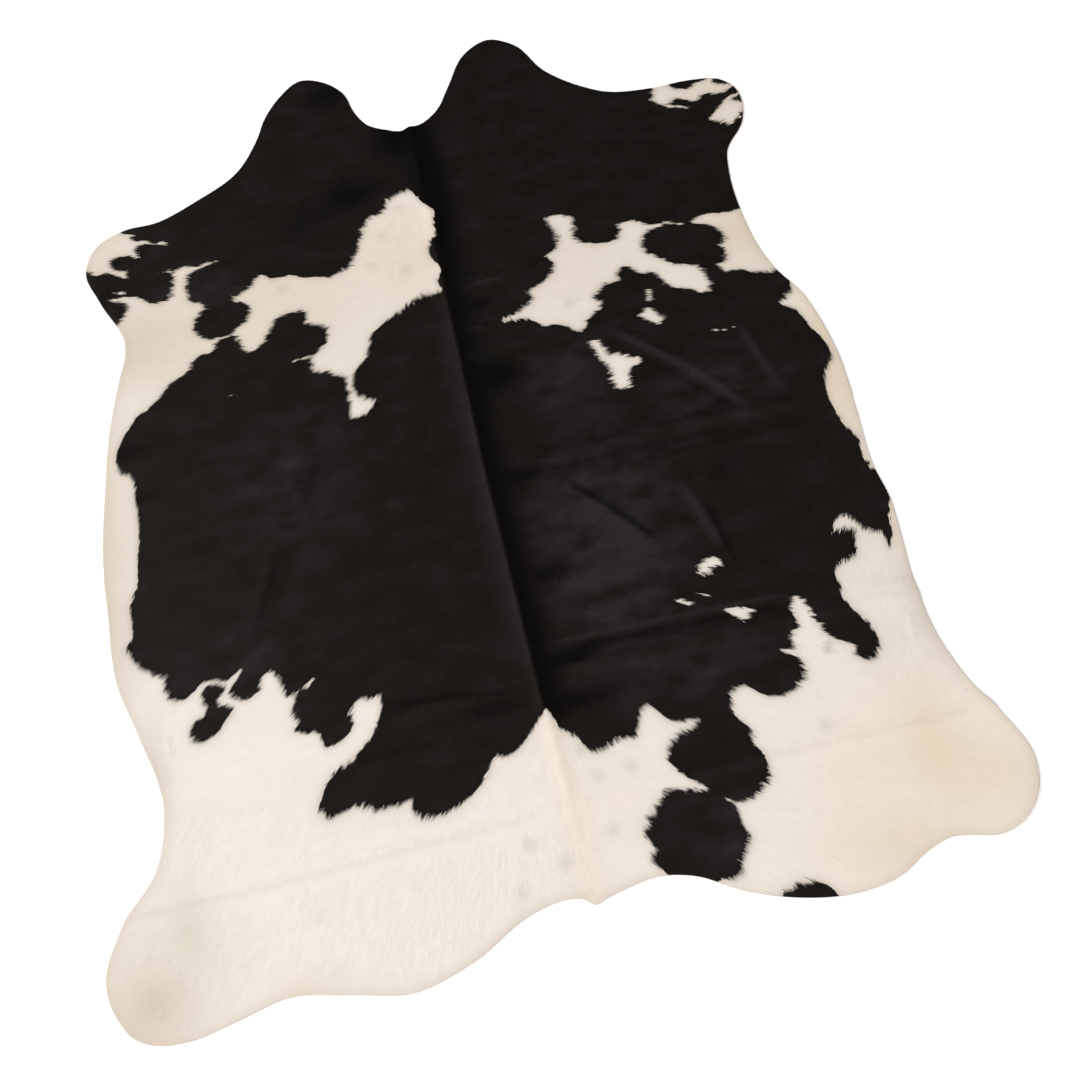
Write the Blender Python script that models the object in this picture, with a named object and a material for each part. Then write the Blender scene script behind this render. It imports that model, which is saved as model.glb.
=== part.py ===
"""Cowhide rug: one whole tanned hide with its hair left on, lying flat on a floor.

Metres, +Z up. The origin is on the floor under the middle of the outline. +Y runs along
the spine towards the neck, and +X is the right flank, seen from above with the neck
ahead. The tables below are in centimetres from the animal's own marks: "across" is
measured to the right of the spine, and "along" is measured ahead of the tail.

The hide is one sheet, cut to the animal's outline. It rests flat on its skin side and
lifts off the floor only under the old packing folds, the soft wrinkles that run with
them, and a few places where the thin belly and leg edges wave.
"""

from collections import namedtuple
from math import cos, hypot, pi

import bmesh
import bpy
from mathutils.geometry import delaunay_2d_cdt

CM = 0.01
MM = 0.001

# The sheet: the tanned skin, and the short coat combed flat on it.
SKIN = 2.2 * MM
COAT = 1.8 * MM
THICKNESS = SKIN + COAT

# The section through the cut edge, from the underside round to the top. The skin is cut
# almost square, and the hair tips round over it.
RimRow = namedtuple("RimRow", "inset height")
RIM = (
    RimRow(inset=12.0 * MM, height=0.0),
    RimRow(inset=0.8 * MM, height=0.0),
    RimRow(inset=0.0, height=SKIN),
    RimRow(inset=3.0 * MM, height=SKIN + 0.7 * COAT),
    RimRow(inset=12.0 * MM, height=THICKNESS),
)

# The edge of the hide, anticlockwise from the tail point, in stretches that are named
# for the part of the animal. The edge is a smooth curve through the points, with one
# corner, at the tail point.
Stretch = namedtuple("Stretch", "name points")
EDGE = (
    Stretch("rump, right of the tail", (
        (1.0, 0.0), (6.5, 1.3), (14.5, 2.3), (21.0, 0.8), (30.0, -4.4), (40.0, -8.2))),
    Stretch("right hind leg", (
        (51.0, -9.9), (60.0, -8.6), (66.0, -5.5), (71.5, -4.0), (76.0, -4.8),
        (80.0, -5.7), (86.0, -4.0), (90.0, 0.5), (91.7, 8.0), (89.3, 16.0))),
    Stretch("right flank", (
        (85.0, 25.0), (82.0, 36.0), (81.3, 47.0), (82.0, 60.0), (82.4, 68.5),
        (81.6, 75.0), (82.2, 90.0), (82.6, 103.0), (81.5, 114.0), (79.5, 123.0),
        (76.0, 130.0), (74.0, 136.5))),
    Stretch("right foreleg", (
        (72.6, 149.0), (73.0, 160.0), (74.4, 166.5), (80.0, 173.5), (81.5, 178.5),
        (81.1, 184.0), (78.0, 188.0), (71.5, 190.0))),
    Stretch("right side of the neck", (
        (62.0, 190.7), (50.0, 193.7), (45.6, 196.6), (37.0, 205.2), (31.0, 216.2),
        (25.0, 219.6), (19.0, 217.5))),
    Stretch("neck hollow", (
        (12.0, 207.6), (8.0, 201.7), (2.0, 198.6), (0.2, 198.8), (-1.7, 198.3),
        (-5.5, 199.9), (-10.0, 203.0), (-12.6, 208.0))),
    Stretch("left side of the neck", (
        (-14.4, 215.0), (-18.0, 219.6), (-25.0, 222.7), (-31.0, 219.2), (-35.4, 214.2),
        (-38.9, 207.3), (-45.0, 199.3))),
    Stretch("left foreleg", (
        (-57.0, 193.5), (-67.0, 190.4), (-77.0, 190.4), (-83.5, 187.6), (-86.9, 180.5),
        (-84.3, 171.0))),
    Stretch("left flank", (
        (-79.1, 156.0), (-82.0, 146.0), (-85.0, 135.0), (-88.0, 118.0), (-90.0, 103.0),
        (-90.2, 87.0), (-89.7, 70.0), (-86.5, 58.5), (-82.6, 40.5))),
    Stretch("left hind leg", (
        (-85.5, 28.5), (-94.0, 18.5), (-98.3, 8.0), (-96.2, 0.0), (-94.0, -3.2),
        (-89.5, -5.7), (-83.0, -6.5), (-72.0, -4.8), (-62.0, -3.0))),
    Stretch("rump, left of the tail", (
        (-50.0, -5.3), (-37.0, -7.9), (-25.0, -5.1), (-12.0, 1.0), (-6.5, 2.2),
        (-1.0, 1.6))),
)

# Folds and wrinkles. Each is a soft ridge along a line: half_width is from the crest to
# where it lies flat again, rises are its heights in millimetres at even steps from one
# end to the other, and each fade is the length over which that end dies away. A fade of
# 0 runs out over the cut edge.
Fold = namedtuple("Fold", "name line half_width rises fade_start fade_end")
FOLDS = (
    Fold("spine", ((0.6, 199.0), (0.0, 155.0), (-0.4, 100.0), (0.2, 45.0), (1.0, 8.0)),
         3.0, (2.4, 3.2, 2.6, 3.8, 3.2, 4.0, 2.6), 0.0, 14.0),
    Fold("rump fold", ((-97.0, 20.3), (0.0, 20.6), (90.0, 19.9)),
         3.4, (3.4, 2.4, 2.8, 3.2, 2.2, 3.0, 3.6), 0.0, 0.0),
    Fold("loin fold, left", ((-5.0, 49.2), (-48.0, 47.2), (-84.0, 45.2)),
         3.4, (3.6, 3.0, 2.4, 3.2), 5.0, 0.0),
    Fold("loin fold, right", ((4.0, 49.2), (50.0, 47.4), (83.0, 45.8)),
         3.2, (4.6, 4.0, 3.0, 3.4), 5.0, 0.0),
    Fold("loin crease above it", ((6.0, 55.6), (30.0, 54.4), (58.0, 53.0)),
         2.4, (2.8, 2.2, 1.6), 6.0, 14.0),
    Fold("back fold, left", ((-5.0, 96.4), (-50.0, 96.4), (-91.0, 95.4)),
         3.6, (2.6, 2.0, 2.6, 3.2), 6.0, 0.0),
    Fold("back fold, right", ((4.0, 97.6), (50.0, 97.2), (84.0, 95.4)),
         3.2, (3.8, 3.0, 3.4, 2.8), 5.0, 0.0),
    Fold("back crease below it", ((12.0, 90.6), (45.0, 90.4), (76.0, 89.8)),
         2.6, (2.4, 2.8, 1.8), 8.0, 14.0),
    Fold("shoulder fold, left edge", ((-88.0, 126.2), (-56.0, 126.8)),
         3.2, (3.2, 2.6, 1.8), 0.0, 18.0),
    Fold("shoulder fold, middle", ((-18.0, 128.4), (2.0, 129.4), (24.0, 128.2)),
         2.6, (2.0, 2.8, 2.0), 12.0, 14.0),
    Fold("withers crease, front", ((1.0, 150.6), (28.0, 149.0)),
         2.4, (2.8, 2.2, 1.6), 3.0, 16.0),
    Fold("withers crease, back", ((1.0, 136.0), (20.0, 134.2)),
         2.2, (2.4, 1.8), 3.0, 12.0),
    Fold("foreleg fold, left", ((-80.0, 155.6), (-54.0, 157.4)),
         2.8, (3.2, 2.4, 1.6), 0.0, 14.0),
    Fold("long wrinkle, right shoulder", ((31.0, 129.0), (49.0, 112.0), (60.0, 100.5)),
         3.4, (1.6, 2.4, 3.0), 14.0, 8.0),
    Fold("short wrinkle, right flank", ((63.5, 121.0), (68.5, 101.0)),
         2.8, (2.2, 2.6), 9.0, 7.0),
    Fold("wrinkle, right loin", ((17.5, 88.0), (26.0, 79.5), (34.5, 68.0)),
         3.4, (3.0, 2.8, 2.0), 6.0, 11.0),
    Fold("wrinkle, right hip", ((42.0, 86.0), (45.0, 62.0)),
         3.0, (1.8, 2.4, 1.6), 9.0, 9.0),
    Fold("long wrinkle, left back", ((-35.0, 127.0), (-49.0, 99.0), (-60.0, 67.0)),
         3.8, (1.8, 2.6, 2.0, 1.8), 18.0, 18.0),
    Fold("edge wrinkle, left stifle", ((-80.4, 58.0), (-79.4, 50.0)), 1.6, (2.0, 2.0), 5.0, 4.0),
    Fold("edge wrinkle, right stifle", ((78.0, 43.0), (77.0, 34.0)), 1.6, (2.0, 1.8), 4.0, 5.0),
)

# Places where a thin edge waves off the floor, as round hills in millimetres of rise.
Wave = namedtuple("Wave", "name across along reach_across reach_along rise")
WAVES = (
    Wave("left belly edge", -92.0, 82.0, 12.0, 22.0, 3.0),
    Wave("left belly edge, front", -87.0, 134.0, 9.0, 16.0, 2.2),
    Wave("right belly edge", 84.0, 108.0, 11.0, 20.0, 2.8),
    Wave("right stifle edge", 84.0, 62.0, 8.0, 14.0, 2.0),
    Wave("left hind leg", -99.0, 9.0, 15.0, 16.0, 2.8),
    Wave("right hind leg", 92.0, 1.0, 16.0, 14.0, 2.6),
    Wave("left foreleg", -88.0, 184.0, 15.0, 13.0, 2.6),
    Wave("right foreleg", 83.0, 183.0, 13.0, 14.0, 2.6),
    Wave("left neck", -26.0, 224.0, 13.0, 12.0, 2.4),
    Wave("right neck", 25.0, 221.0, 12.0, 12.0, 2.4),
)

# How finely the shape is cut into triangles, in centimetres.
EDGE_STEP = 2.6
LATTICE_PITCH = 7.0
FOLD_STEP = 5.8
FOLD_ROWS = (0.0, -0.5, 0.5, -1.0, 1.0)
LATTICE_CLEARANCE = 3.4
FOLD_CLEARANCE = 0.85
FOLD_TO_EDGE = 1.3

# A lift smaller than this lies flat on the floor.
TOUCHES_FLOOR = 0.1 * MM

# The triangulation first fills the hull of the points, and is then cut to the outline.
WHOLE_HULL = 0
SAME_POINT = 1e-6

COAT_BLACK = (0.012, 0.010, 0.009, 1.0)
COAT_ROUGHNESS = 0.55


def tangents(points, gaps):
    """Directions of a smooth curve at its points, which has a corner where it closes."""
    chords = [((b[0] - a[0]) / gap, (b[1] - a[1]) / gap)
              for a, b, gap in zip(points, points[1:], gaps)]
    inner = [tuple((before[k] * gap_after + after[k] * gap_before) / (gap_before + gap_after)
                   for k in (0, 1))
             for before, after, gap_before, gap_after
             in zip(chords, chords[1:], gaps, gaps[1:])]
    first = tuple(2 * chords[0][k] - inner[0][k] for k in (0, 1))
    last = tuple(2 * chords[-1][k] - inner[-1][k] for k in (0, 1))
    return [first] + inner + [last]


def smooth_edge():
    """The outline as a closed ring of points, evenly spaced along a smooth curve."""
    points = [point for stretch in EDGE for point in stretch.points]
    points.append(points[0])
    gaps = [hypot(b[0] - a[0], b[1] - a[1]) for a, b in zip(points, points[1:])]
    slopes = tangents(points, gaps)
    ring = []
    for start, end, leave, arrive, gap in zip(points, points[1:], slopes, slopes[1:], gaps):
        steps = max(1, round(gap / EDGE_STEP))
        for step in range(steps):
            t = step / steps
            weights = (2 * t**3 - 3 * t**2 + 1, 3 * t**2 - 2 * t**3,
                       gap * (t**3 - 2 * t**2 + t), gap * (t**3 - t**2))
            ring.append(tuple(weights[0] * start[k] + weights[1] * end[k]
                              + weights[2] * leave[k] + weights[3] * arrive[k]
                              for k in (0, 1)))
    return ring


def inset_ring(ring, inset):
    """The ring moved in from the edge by a distance, each point square to the edge."""
    moved = []
    for index, (x, y) in enumerate(ring):
        before, after = ring[index - 1], ring[(index + 1) % len(ring)]
        run_x, run_y = after[0] - before[0], after[1] - before[1]
        length = hypot(run_x, run_y)
        moved.append((x - inset * run_y / length, y + inset * run_x / length))
    return moved


def inside(point, ring):
    """Whether a point lies within a closed ring."""
    x, y = point
    within = False
    for (ax, ay), (bx, by) in zip(ring, ring[1:] + ring[:1]):
        if (ay > y) != (by > y) and x < ax + (y - ay) * (bx - ax) / (by - ay):
            within = not within
    return within


def nearest_on_line(point, line):
    """Distance from a point to a line of straight runs, and how far along it that is."""
    best = (float("inf"), 0.0)
    passed = 0.0
    for (ax, ay), (bx, by) in zip(line, line[1:]):
        run = hypot(bx - ax, by - ay)
        share = ((point[0] - ax) * (bx - ax) + (point[1] - ay) * (by - ay)) / run**2
        share = min(max(share, 0.0), 1.0)
        gap = hypot(point[0] - ax - share * (bx - ax), point[1] - ay - share * (by - ay))
        if gap < best[0]:
            best = (gap, passed + share * run)
        passed += run
    return best


def line_length(line):
    """Length of a line of straight runs."""
    return sum(hypot(b[0] - a[0], b[1] - a[1]) for a, b in zip(line, line[1:]))


def soft_step(share):
    """A smooth rise from 0 to 1."""
    share = min(max(share, 0.0), 1.0)
    return 0.5 - 0.5 * cos(pi * share)


def height_along(rises, share):
    """A value that passes smoothly through evenly spaced ones, at a share of the way."""
    place = min(max(share, 0.0), 1.0) * (len(rises) - 1)
    before = min(int(place), len(rises) - 2)
    return rises[before] + (rises[before + 1] - rises[before]) * soft_step(place - before)


def fold_height(fold, point):
    """Height of one fold's ridge over the floor at a point, in metres."""
    gap, at = nearest_on_line(point, fold.line)
    if gap >= fold.half_width:
        return 0.0
    length = line_length(fold.line)
    rise = height_along(fold.rises, at / length)
    if fold.fade_start:
        rise *= soft_step(at / fold.fade_start)
    if fold.fade_end:
        rise *= soft_step((length - at) / fold.fade_end)
    return rise * MM * soft_step(1.0 - gap / fold.half_width)


def wave_height(wave, point):
    """Height of one waved edge over the floor at a point, in metres."""
    reach = hypot((point[0] - wave.across) / wave.reach_across,
                  (point[1] - wave.along) / wave.reach_along)
    return wave.rise * MM * soft_step(1.0 - reach)


def lift(point):
    """How far the skin side stands off the floor at a point, in metres."""
    heights = [fold_height(fold, point) for fold in FOLDS]
    heights += [wave_height(wave, point) for wave in WAVES]
    total = hypot(*heights)
    return total if total > TOUCHES_FLOOR else 0.0


def clear_of(point, others, gap):
    """Whether a point keeps its distance from every one of the others."""
    return all(abs(point[0] - x) > gap or abs(point[1] - y) > gap
               or hypot(point[0] - x, point[1] - y) > gap for x, y in others)


def fold_points(fold):
    """Points in rows along a fold: on its crest, its sides and its feet."""
    points = []
    for row in FOLD_ROWS:
        for (ax, ay), (bx, by) in zip(fold.line, fold.line[1:]):
            run = hypot(bx - ax, by - ay)
            steps = max(1, round(run / FOLD_STEP))
            side = row * fold.half_width / run
            for step in range(steps + 1):
                share = step / steps
                points.append((ax + share * (bx - ax) - side * (by - ay),
                               ay + share * (by - ay) + side * (bx - ax)))
    return points


def lattice_points(ring):
    """A triangular lattice of points over the ring's box."""
    low_x, high_x = min(x for x, _ in ring), max(x for x, _ in ring)
    low_y, high_y = min(y for _, y in ring), max(y for _, y in ring)
    row_pitch = LATTICE_PITCH * 3**0.5 / 2
    points = []
    for row in range(int((high_y - low_y) / row_pitch) + 1):
        shift = LATTICE_PITCH / 2 if row % 2 else 0.0
        for column in range(int((high_x - low_x) / LATTICE_PITCH) + 1):
            points.append((low_x + shift + column * LATTICE_PITCH, low_y + row * row_pitch))
    return points


def sheet_points(ring):
    """The points that both faces of the sheet are cut at: the ring, then the inner ones."""
    kept = []
    for fold in FOLDS:
        for point in fold_points(fold):
            if (inside(point, ring) and clear_of(point, ring, FOLD_TO_EDGE)
                    and clear_of(point, kept, FOLD_CLEARANCE)):
                kept.append(point)
    for point in lattice_points(ring):
        if (inside(point, ring) and clear_of(point, ring, LATTICE_CLEARANCE)
                and clear_of(point, kept, LATTICE_CLEARANCE)):
            kept.append(point)
    return ring + kept


def sheet_triangles(points, ring_size):
    """Triangles over the points, within the ring that comes first among them."""
    ring = points[:ring_size]
    border = [(index, (index + 1) % ring_size) for index in range(ring_size)]
    found, _, faces, _, _, _ = delaunay_2d_cdt(points, border, [], WHOLE_HULL, SAME_POINT, False)
    if len(found) != len(points):
        raise ValueError("the outline crosses itself")
    kept = []
    for face in faces:
        centre = tuple(sum(points[index][k] for index in face) / 3 for k in (0, 1))
        if inside(centre, ring):
            kept.append(tuple(face))
    return kept


def build_hide():
    """The hide as one closed sheet: underside, cut edge and coat side."""
    edge = smooth_edge()
    size = len(edge)
    middle_x = (min(x for x, _ in edge) + max(x for x, _ in edge)) / 2
    middle_y = (min(y for _, y in edge) + max(y for _, y in edge)) / 2

    def place(model, point, height):
        """A vertex at a point, a height above the skin side there."""
        return model.verts.new(((point[0] - middle_x) * CM, (point[1] - middle_y) * CM,
                                lift(point) + height))

    model = bmesh.new()
    rings = [inset_ring(edge, row.inset / CM) for row in RIM]
    rows = [[place(model, point, row.height) for point in ring]
            for ring, row in zip(rings, RIM)]
    for lower, upper in zip(rows, rows[1:]):
        for index in range(size):
            after = (index + 1) % size
            model.faces.new((lower[index], lower[after], upper[after], upper[index]))

    points = sheet_points(rings[0])
    triangles = sheet_triangles(points, size)
    underside = rows[0] + [place(model, point, 0.0) for point in points[size:]]
    top = rows[-1] + [place(model, point, THICKNESS) for point in points[size:]]
    for a, b, c in triangles:
        model.faces.new((top[a], top[b], top[c]))
        model.faces.new((underside[c], underside[b], underside[a]))

    bmesh.ops.triangulate(model, faces=model.faces[:])
    bmesh.ops.recalc_face_normals(model, faces=model.faces[:])
    mesh = bpy.data.meshes.new("hide")
    model.to_mesh(mesh)
    model.free()
    mesh.shade_smooth()
    hide = bpy.data.objects.new("hide", mesh)
    bpy.context.scene.collection.objects.link(hide)
    return hide


def coat_material():
    """Hair-on leather, in the black that covers most of the hide."""
    material = bpy.data.materials.new("hair_on_leather")
    material.use_nodes = True
    shader = material.node_tree.nodes["Principled BSDF"]
    shader.inputs["Base Color"].default_value = COAT_BLACK
    shader.inputs["Roughness"].default_value = COAT_ROUGHNESS
    shader.inputs["Metallic"].default_value = 0.0
    return material


def main():
    """Clear the scene and build the rug."""
    for item in list(bpy.data.objects):
        bpy.data.objects.remove(item, do_unlink=True)
    hide = build_hide()
    hide.data.materials.append(coat_material())


main()
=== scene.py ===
"""Cowhide rug: the looks of one whole hide, tanned with its hair left on.

The hide is one thin sheet of leather, cut to the animal's outline. Its short black and
white coat lies combed flat on it as locks of hair, which cross the borders between the
colours in ragged tufts. Metres, +Z up, +Y along the spine towards the neck.

The tables of folds, markings, staining and painted sheen and shade are in centimetres
from the animal's own marks: "across" is measured to the right of the spine, and "along"
ahead of the tail.
"""

import logging
from dataclasses import dataclass, field
from enum import Enum
from math import cos, hypot, pi, radians, sin
from typing import Any, Iterable, Sequence

import bmesh
import bpy
import numpy as np
from mathutils import Matrix, Vector, noise
from mathutils.geometry import delaunay_2d_cdt


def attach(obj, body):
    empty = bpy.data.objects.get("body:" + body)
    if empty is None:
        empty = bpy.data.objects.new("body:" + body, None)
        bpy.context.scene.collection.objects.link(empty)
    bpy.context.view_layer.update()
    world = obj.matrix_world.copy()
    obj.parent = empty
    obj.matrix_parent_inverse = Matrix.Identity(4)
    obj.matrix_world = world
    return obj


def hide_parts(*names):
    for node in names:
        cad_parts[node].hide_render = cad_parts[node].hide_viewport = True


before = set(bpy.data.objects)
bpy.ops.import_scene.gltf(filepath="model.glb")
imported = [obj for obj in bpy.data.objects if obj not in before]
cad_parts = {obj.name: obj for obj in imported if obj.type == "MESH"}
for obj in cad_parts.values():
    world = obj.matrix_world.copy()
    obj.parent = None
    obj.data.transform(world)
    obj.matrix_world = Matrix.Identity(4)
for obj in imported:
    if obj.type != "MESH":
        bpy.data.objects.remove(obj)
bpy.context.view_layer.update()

Point = tuple[float, float]
Place = tuple[float, float, float]
Colour = tuple[float, float, float, float]
Tree = bpy.types.NodeTree
Socket = bpy.types.NodeSocket
Outputs = bpy.types.NodeOutputs

CM = 0.01
MM = 0.001
# Blender's noise seldom leaves this range, so ranges are mapped from it.
NOISE_LOW, NOISE_HIGH = 0.3, 0.7
# The colour sockets of a Mix node, by number, because their names are not their own.
MIX_A, MIX_B, MIX_OUT = 6, 7, 2
# Past either end of the hide, in metres along it.
PAST_END = 2.0
HIDE_NODE = "hide"
UV_NAME = "OFBake"
# From the spine and the tail to the middle of the outline, where the origin is.
ORIGIN_ACROSS, ORIGIN_ALONG = -3.3, 106.4

log = logging.getLogger("rug")


class Hair(Enum):
    """The two colours of the coat, as the sign of the distance to their border."""

    BLACK = 1
    WHITE = -1


class StainAndPaintedLight(Enum):
    """Ways in which the coat is tinted, by staining and by painted sheen and shade, named as the
    point attribute that holds them.
    """

    # Small grey spots, and painted shade along the raised left belly edge.
    TICK_AND_SHADE = "tick_and_shade"
    STRAW = "straw"
    MOSS = "moss"
    CREAM = "cream"
    # Greyer white next to the black, and painted shade along creases, folds and raised edges.
    HALO = "halo"
    RIM = "rim"
    # Painted sheen: a lighter, cooler grey where the black hair catches the light.
    PAINTED_SHEEN = "painted_sheen"
    # Painted shade: near black, with no gloss, where the hair lies away from the light.
    PAINTED_SHADE = "painted_shade"


@dataclass(frozen=True)
class Fold:
    """A soft ridge along a line.

    half_width runs from the crest to where it lies flat, rises are its heights in
    millimetres at even steps, and each fade is the length over which an end dies away.
    """

    name: str
    line: tuple[Point, ...]
    half_width: float
    rises: tuple[float, ...]
    fade_start: float
    fade_end: float


@dataclass(frozen=True)
class Wave:
    """A thin edge that waves off the floor, as a round hill in millimetres of rise."""

    name: str
    across: float
    along: float
    reach_across: float
    reach_along: float
    rise: float


@dataclass(frozen=True)
class Patch:
    """A marking of one colour, as a smooth closed line through its points."""

    name: str
    hair: Hair
    points: tuple[Point, ...]


@dataclass(frozen=True)
class Streak:
    """A thin lick of hair of one colour, from its root end to its tip."""

    name: str
    hair: Hair
    start: Point
    end: Point
    half_width: float


@dataclass(frozen=True)
class Tint:
    """A soft-edged spot of staining or of painted sheen or shade, with its strength at the
    middle.
    """

    across: float
    along: float
    reach_across: float
    reach_along: float
    strength: float


@dataclass(frozen=True)
class Band:
    """A soft-edged band of staining or of painted sheen or shade along a line.

    Its two reaches may differ where the line runs from the head towards the tail.
    """

    line: tuple[Point, ...]
    reach_left: float
    reach_right: float
    strength: float
    fade: float


@dataclass(frozen=True)
class Lay:
    """The way the hair lies at a place, in degrees anticlockwise from the right flank."""

    across: float
    along: float
    heading: float


FOLDS = (
    Fold("spine", ((0.6, 199), (0, 155), (-0.4, 100), (0.2, 45), (1, 8)),
         3, (2.4, 3.2, 2.6, 3.8, 3.2, 4, 2.6), 0, 14),
    Fold("rump fold", ((-97, 20.3), (0, 20.6), (90, 19.9)),
         3.4, (3.4, 2.4, 2.8, 3.2, 2.2, 3, 3.6), 0, 0),
    Fold("loin fold, left", ((-5, 49.2), (-48, 47.2), (-84, 45.2)),
         3.4, (3.6, 3, 2.4, 3.2), 5, 0),
    Fold("loin fold, right", ((4, 49.2), (50, 47.4), (83, 45.8)),
         3.2, (4.6, 4, 3, 3.4), 5, 0),
    Fold("loin crease above it", ((6, 55.6), (30, 54.4), (58, 53)),
         2.4, (2.8, 2.2, 1.6), 6, 14),
    Fold("back fold, left", ((-5, 96.4), (-50, 96.4), (-91, 95.4)),
         3.6, (2.6, 2, 2.6, 3.2), 6, 0),
    Fold("back fold, right", ((4, 97.6), (50, 97.2), (84, 95.4)),
         3.2, (3.8, 3, 3.4, 2.8), 5, 0),
    Fold("back crease below it", ((12, 90.6), (45, 90.4), (76, 89.8)),
         2.6, (2.4, 2.8, 1.8), 8, 14),
    Fold("shoulder fold, left edge", ((-88, 126.2), (-56, 126.8)),
         3.2, (3.2, 2.6, 1.8), 0, 18),
    Fold("shoulder fold, middle", ((-18, 128.4), (2, 129.4), (24, 128.2)),
         2.6, (2, 2.8, 2), 12, 14),
    Fold("withers crease, front", ((1, 150.6), (28, 149)),
         2.4, (2.8, 2.2, 1.6), 3, 16),
    Fold("withers crease, back", ((1, 136), (20, 134.2)),
         2.2, (2.4, 1.8), 3, 12),
    Fold("foreleg fold, left", ((-80, 155.6), (-54, 157.4)),
         2.8, (3.2, 2.4, 1.6), 0, 14),
    Fold("long wrinkle, right shoulder", ((31, 129), (49, 112), (60, 100.5)),
         3.4, (1.6, 2.4, 3), 14, 8),
    Fold("short wrinkle, right flank", ((63.5, 121), (68.5, 101)),
         2.8, (2.2, 2.6), 9, 7),
    Fold("wrinkle, right loin", ((17.5, 88), (26, 79.5), (34.5, 68)),
         3.4, (3, 2.8, 2), 6, 11),
    Fold("wrinkle, right hip", ((42, 86), (45, 62)),
         3, (1.8, 2.4, 1.6), 9, 9),
    Fold("long wrinkle, left back", ((-35, 127), (-49, 99), (-60, 67)),
         3.8, (1.2, 1.6, 1.2, 1.2), 18, 18),
    Fold("edge wrinkle, left stifle", ((-80.4, 58), (-79.4, 50)), 1.6, (2, 2), 5, 4),
    Fold("edge wrinkle, right stifle", ((78, 43), (77, 34)), 1.6, (2, 1.8), 4, 5),
)

WAVES = (
    Wave("left belly edge", -92, 82, 12, 22, 3),
    Wave("left belly edge, front", -87, 134, 9, 16, 2.2),
    Wave("right belly edge", 84, 108, 11, 20, 2.8),
    Wave("right stifle edge", 84, 62, 8, 14, 2),
    Wave("left hind leg", -99, 9, 15, 16, 2.8),
    Wave("right hind leg", 92, 1, 16, 14, 2.6),
    Wave("left foreleg", -88, 184, 15, 13, 2.6),
    Wave("right foreleg", 83, 183, 13, 14, 2.6),
    Wave("left neck", -26, 224, 13, 12, 2.4),
    Wave("right neck", 25, 221, 12, 12, 2.4),
)

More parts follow.
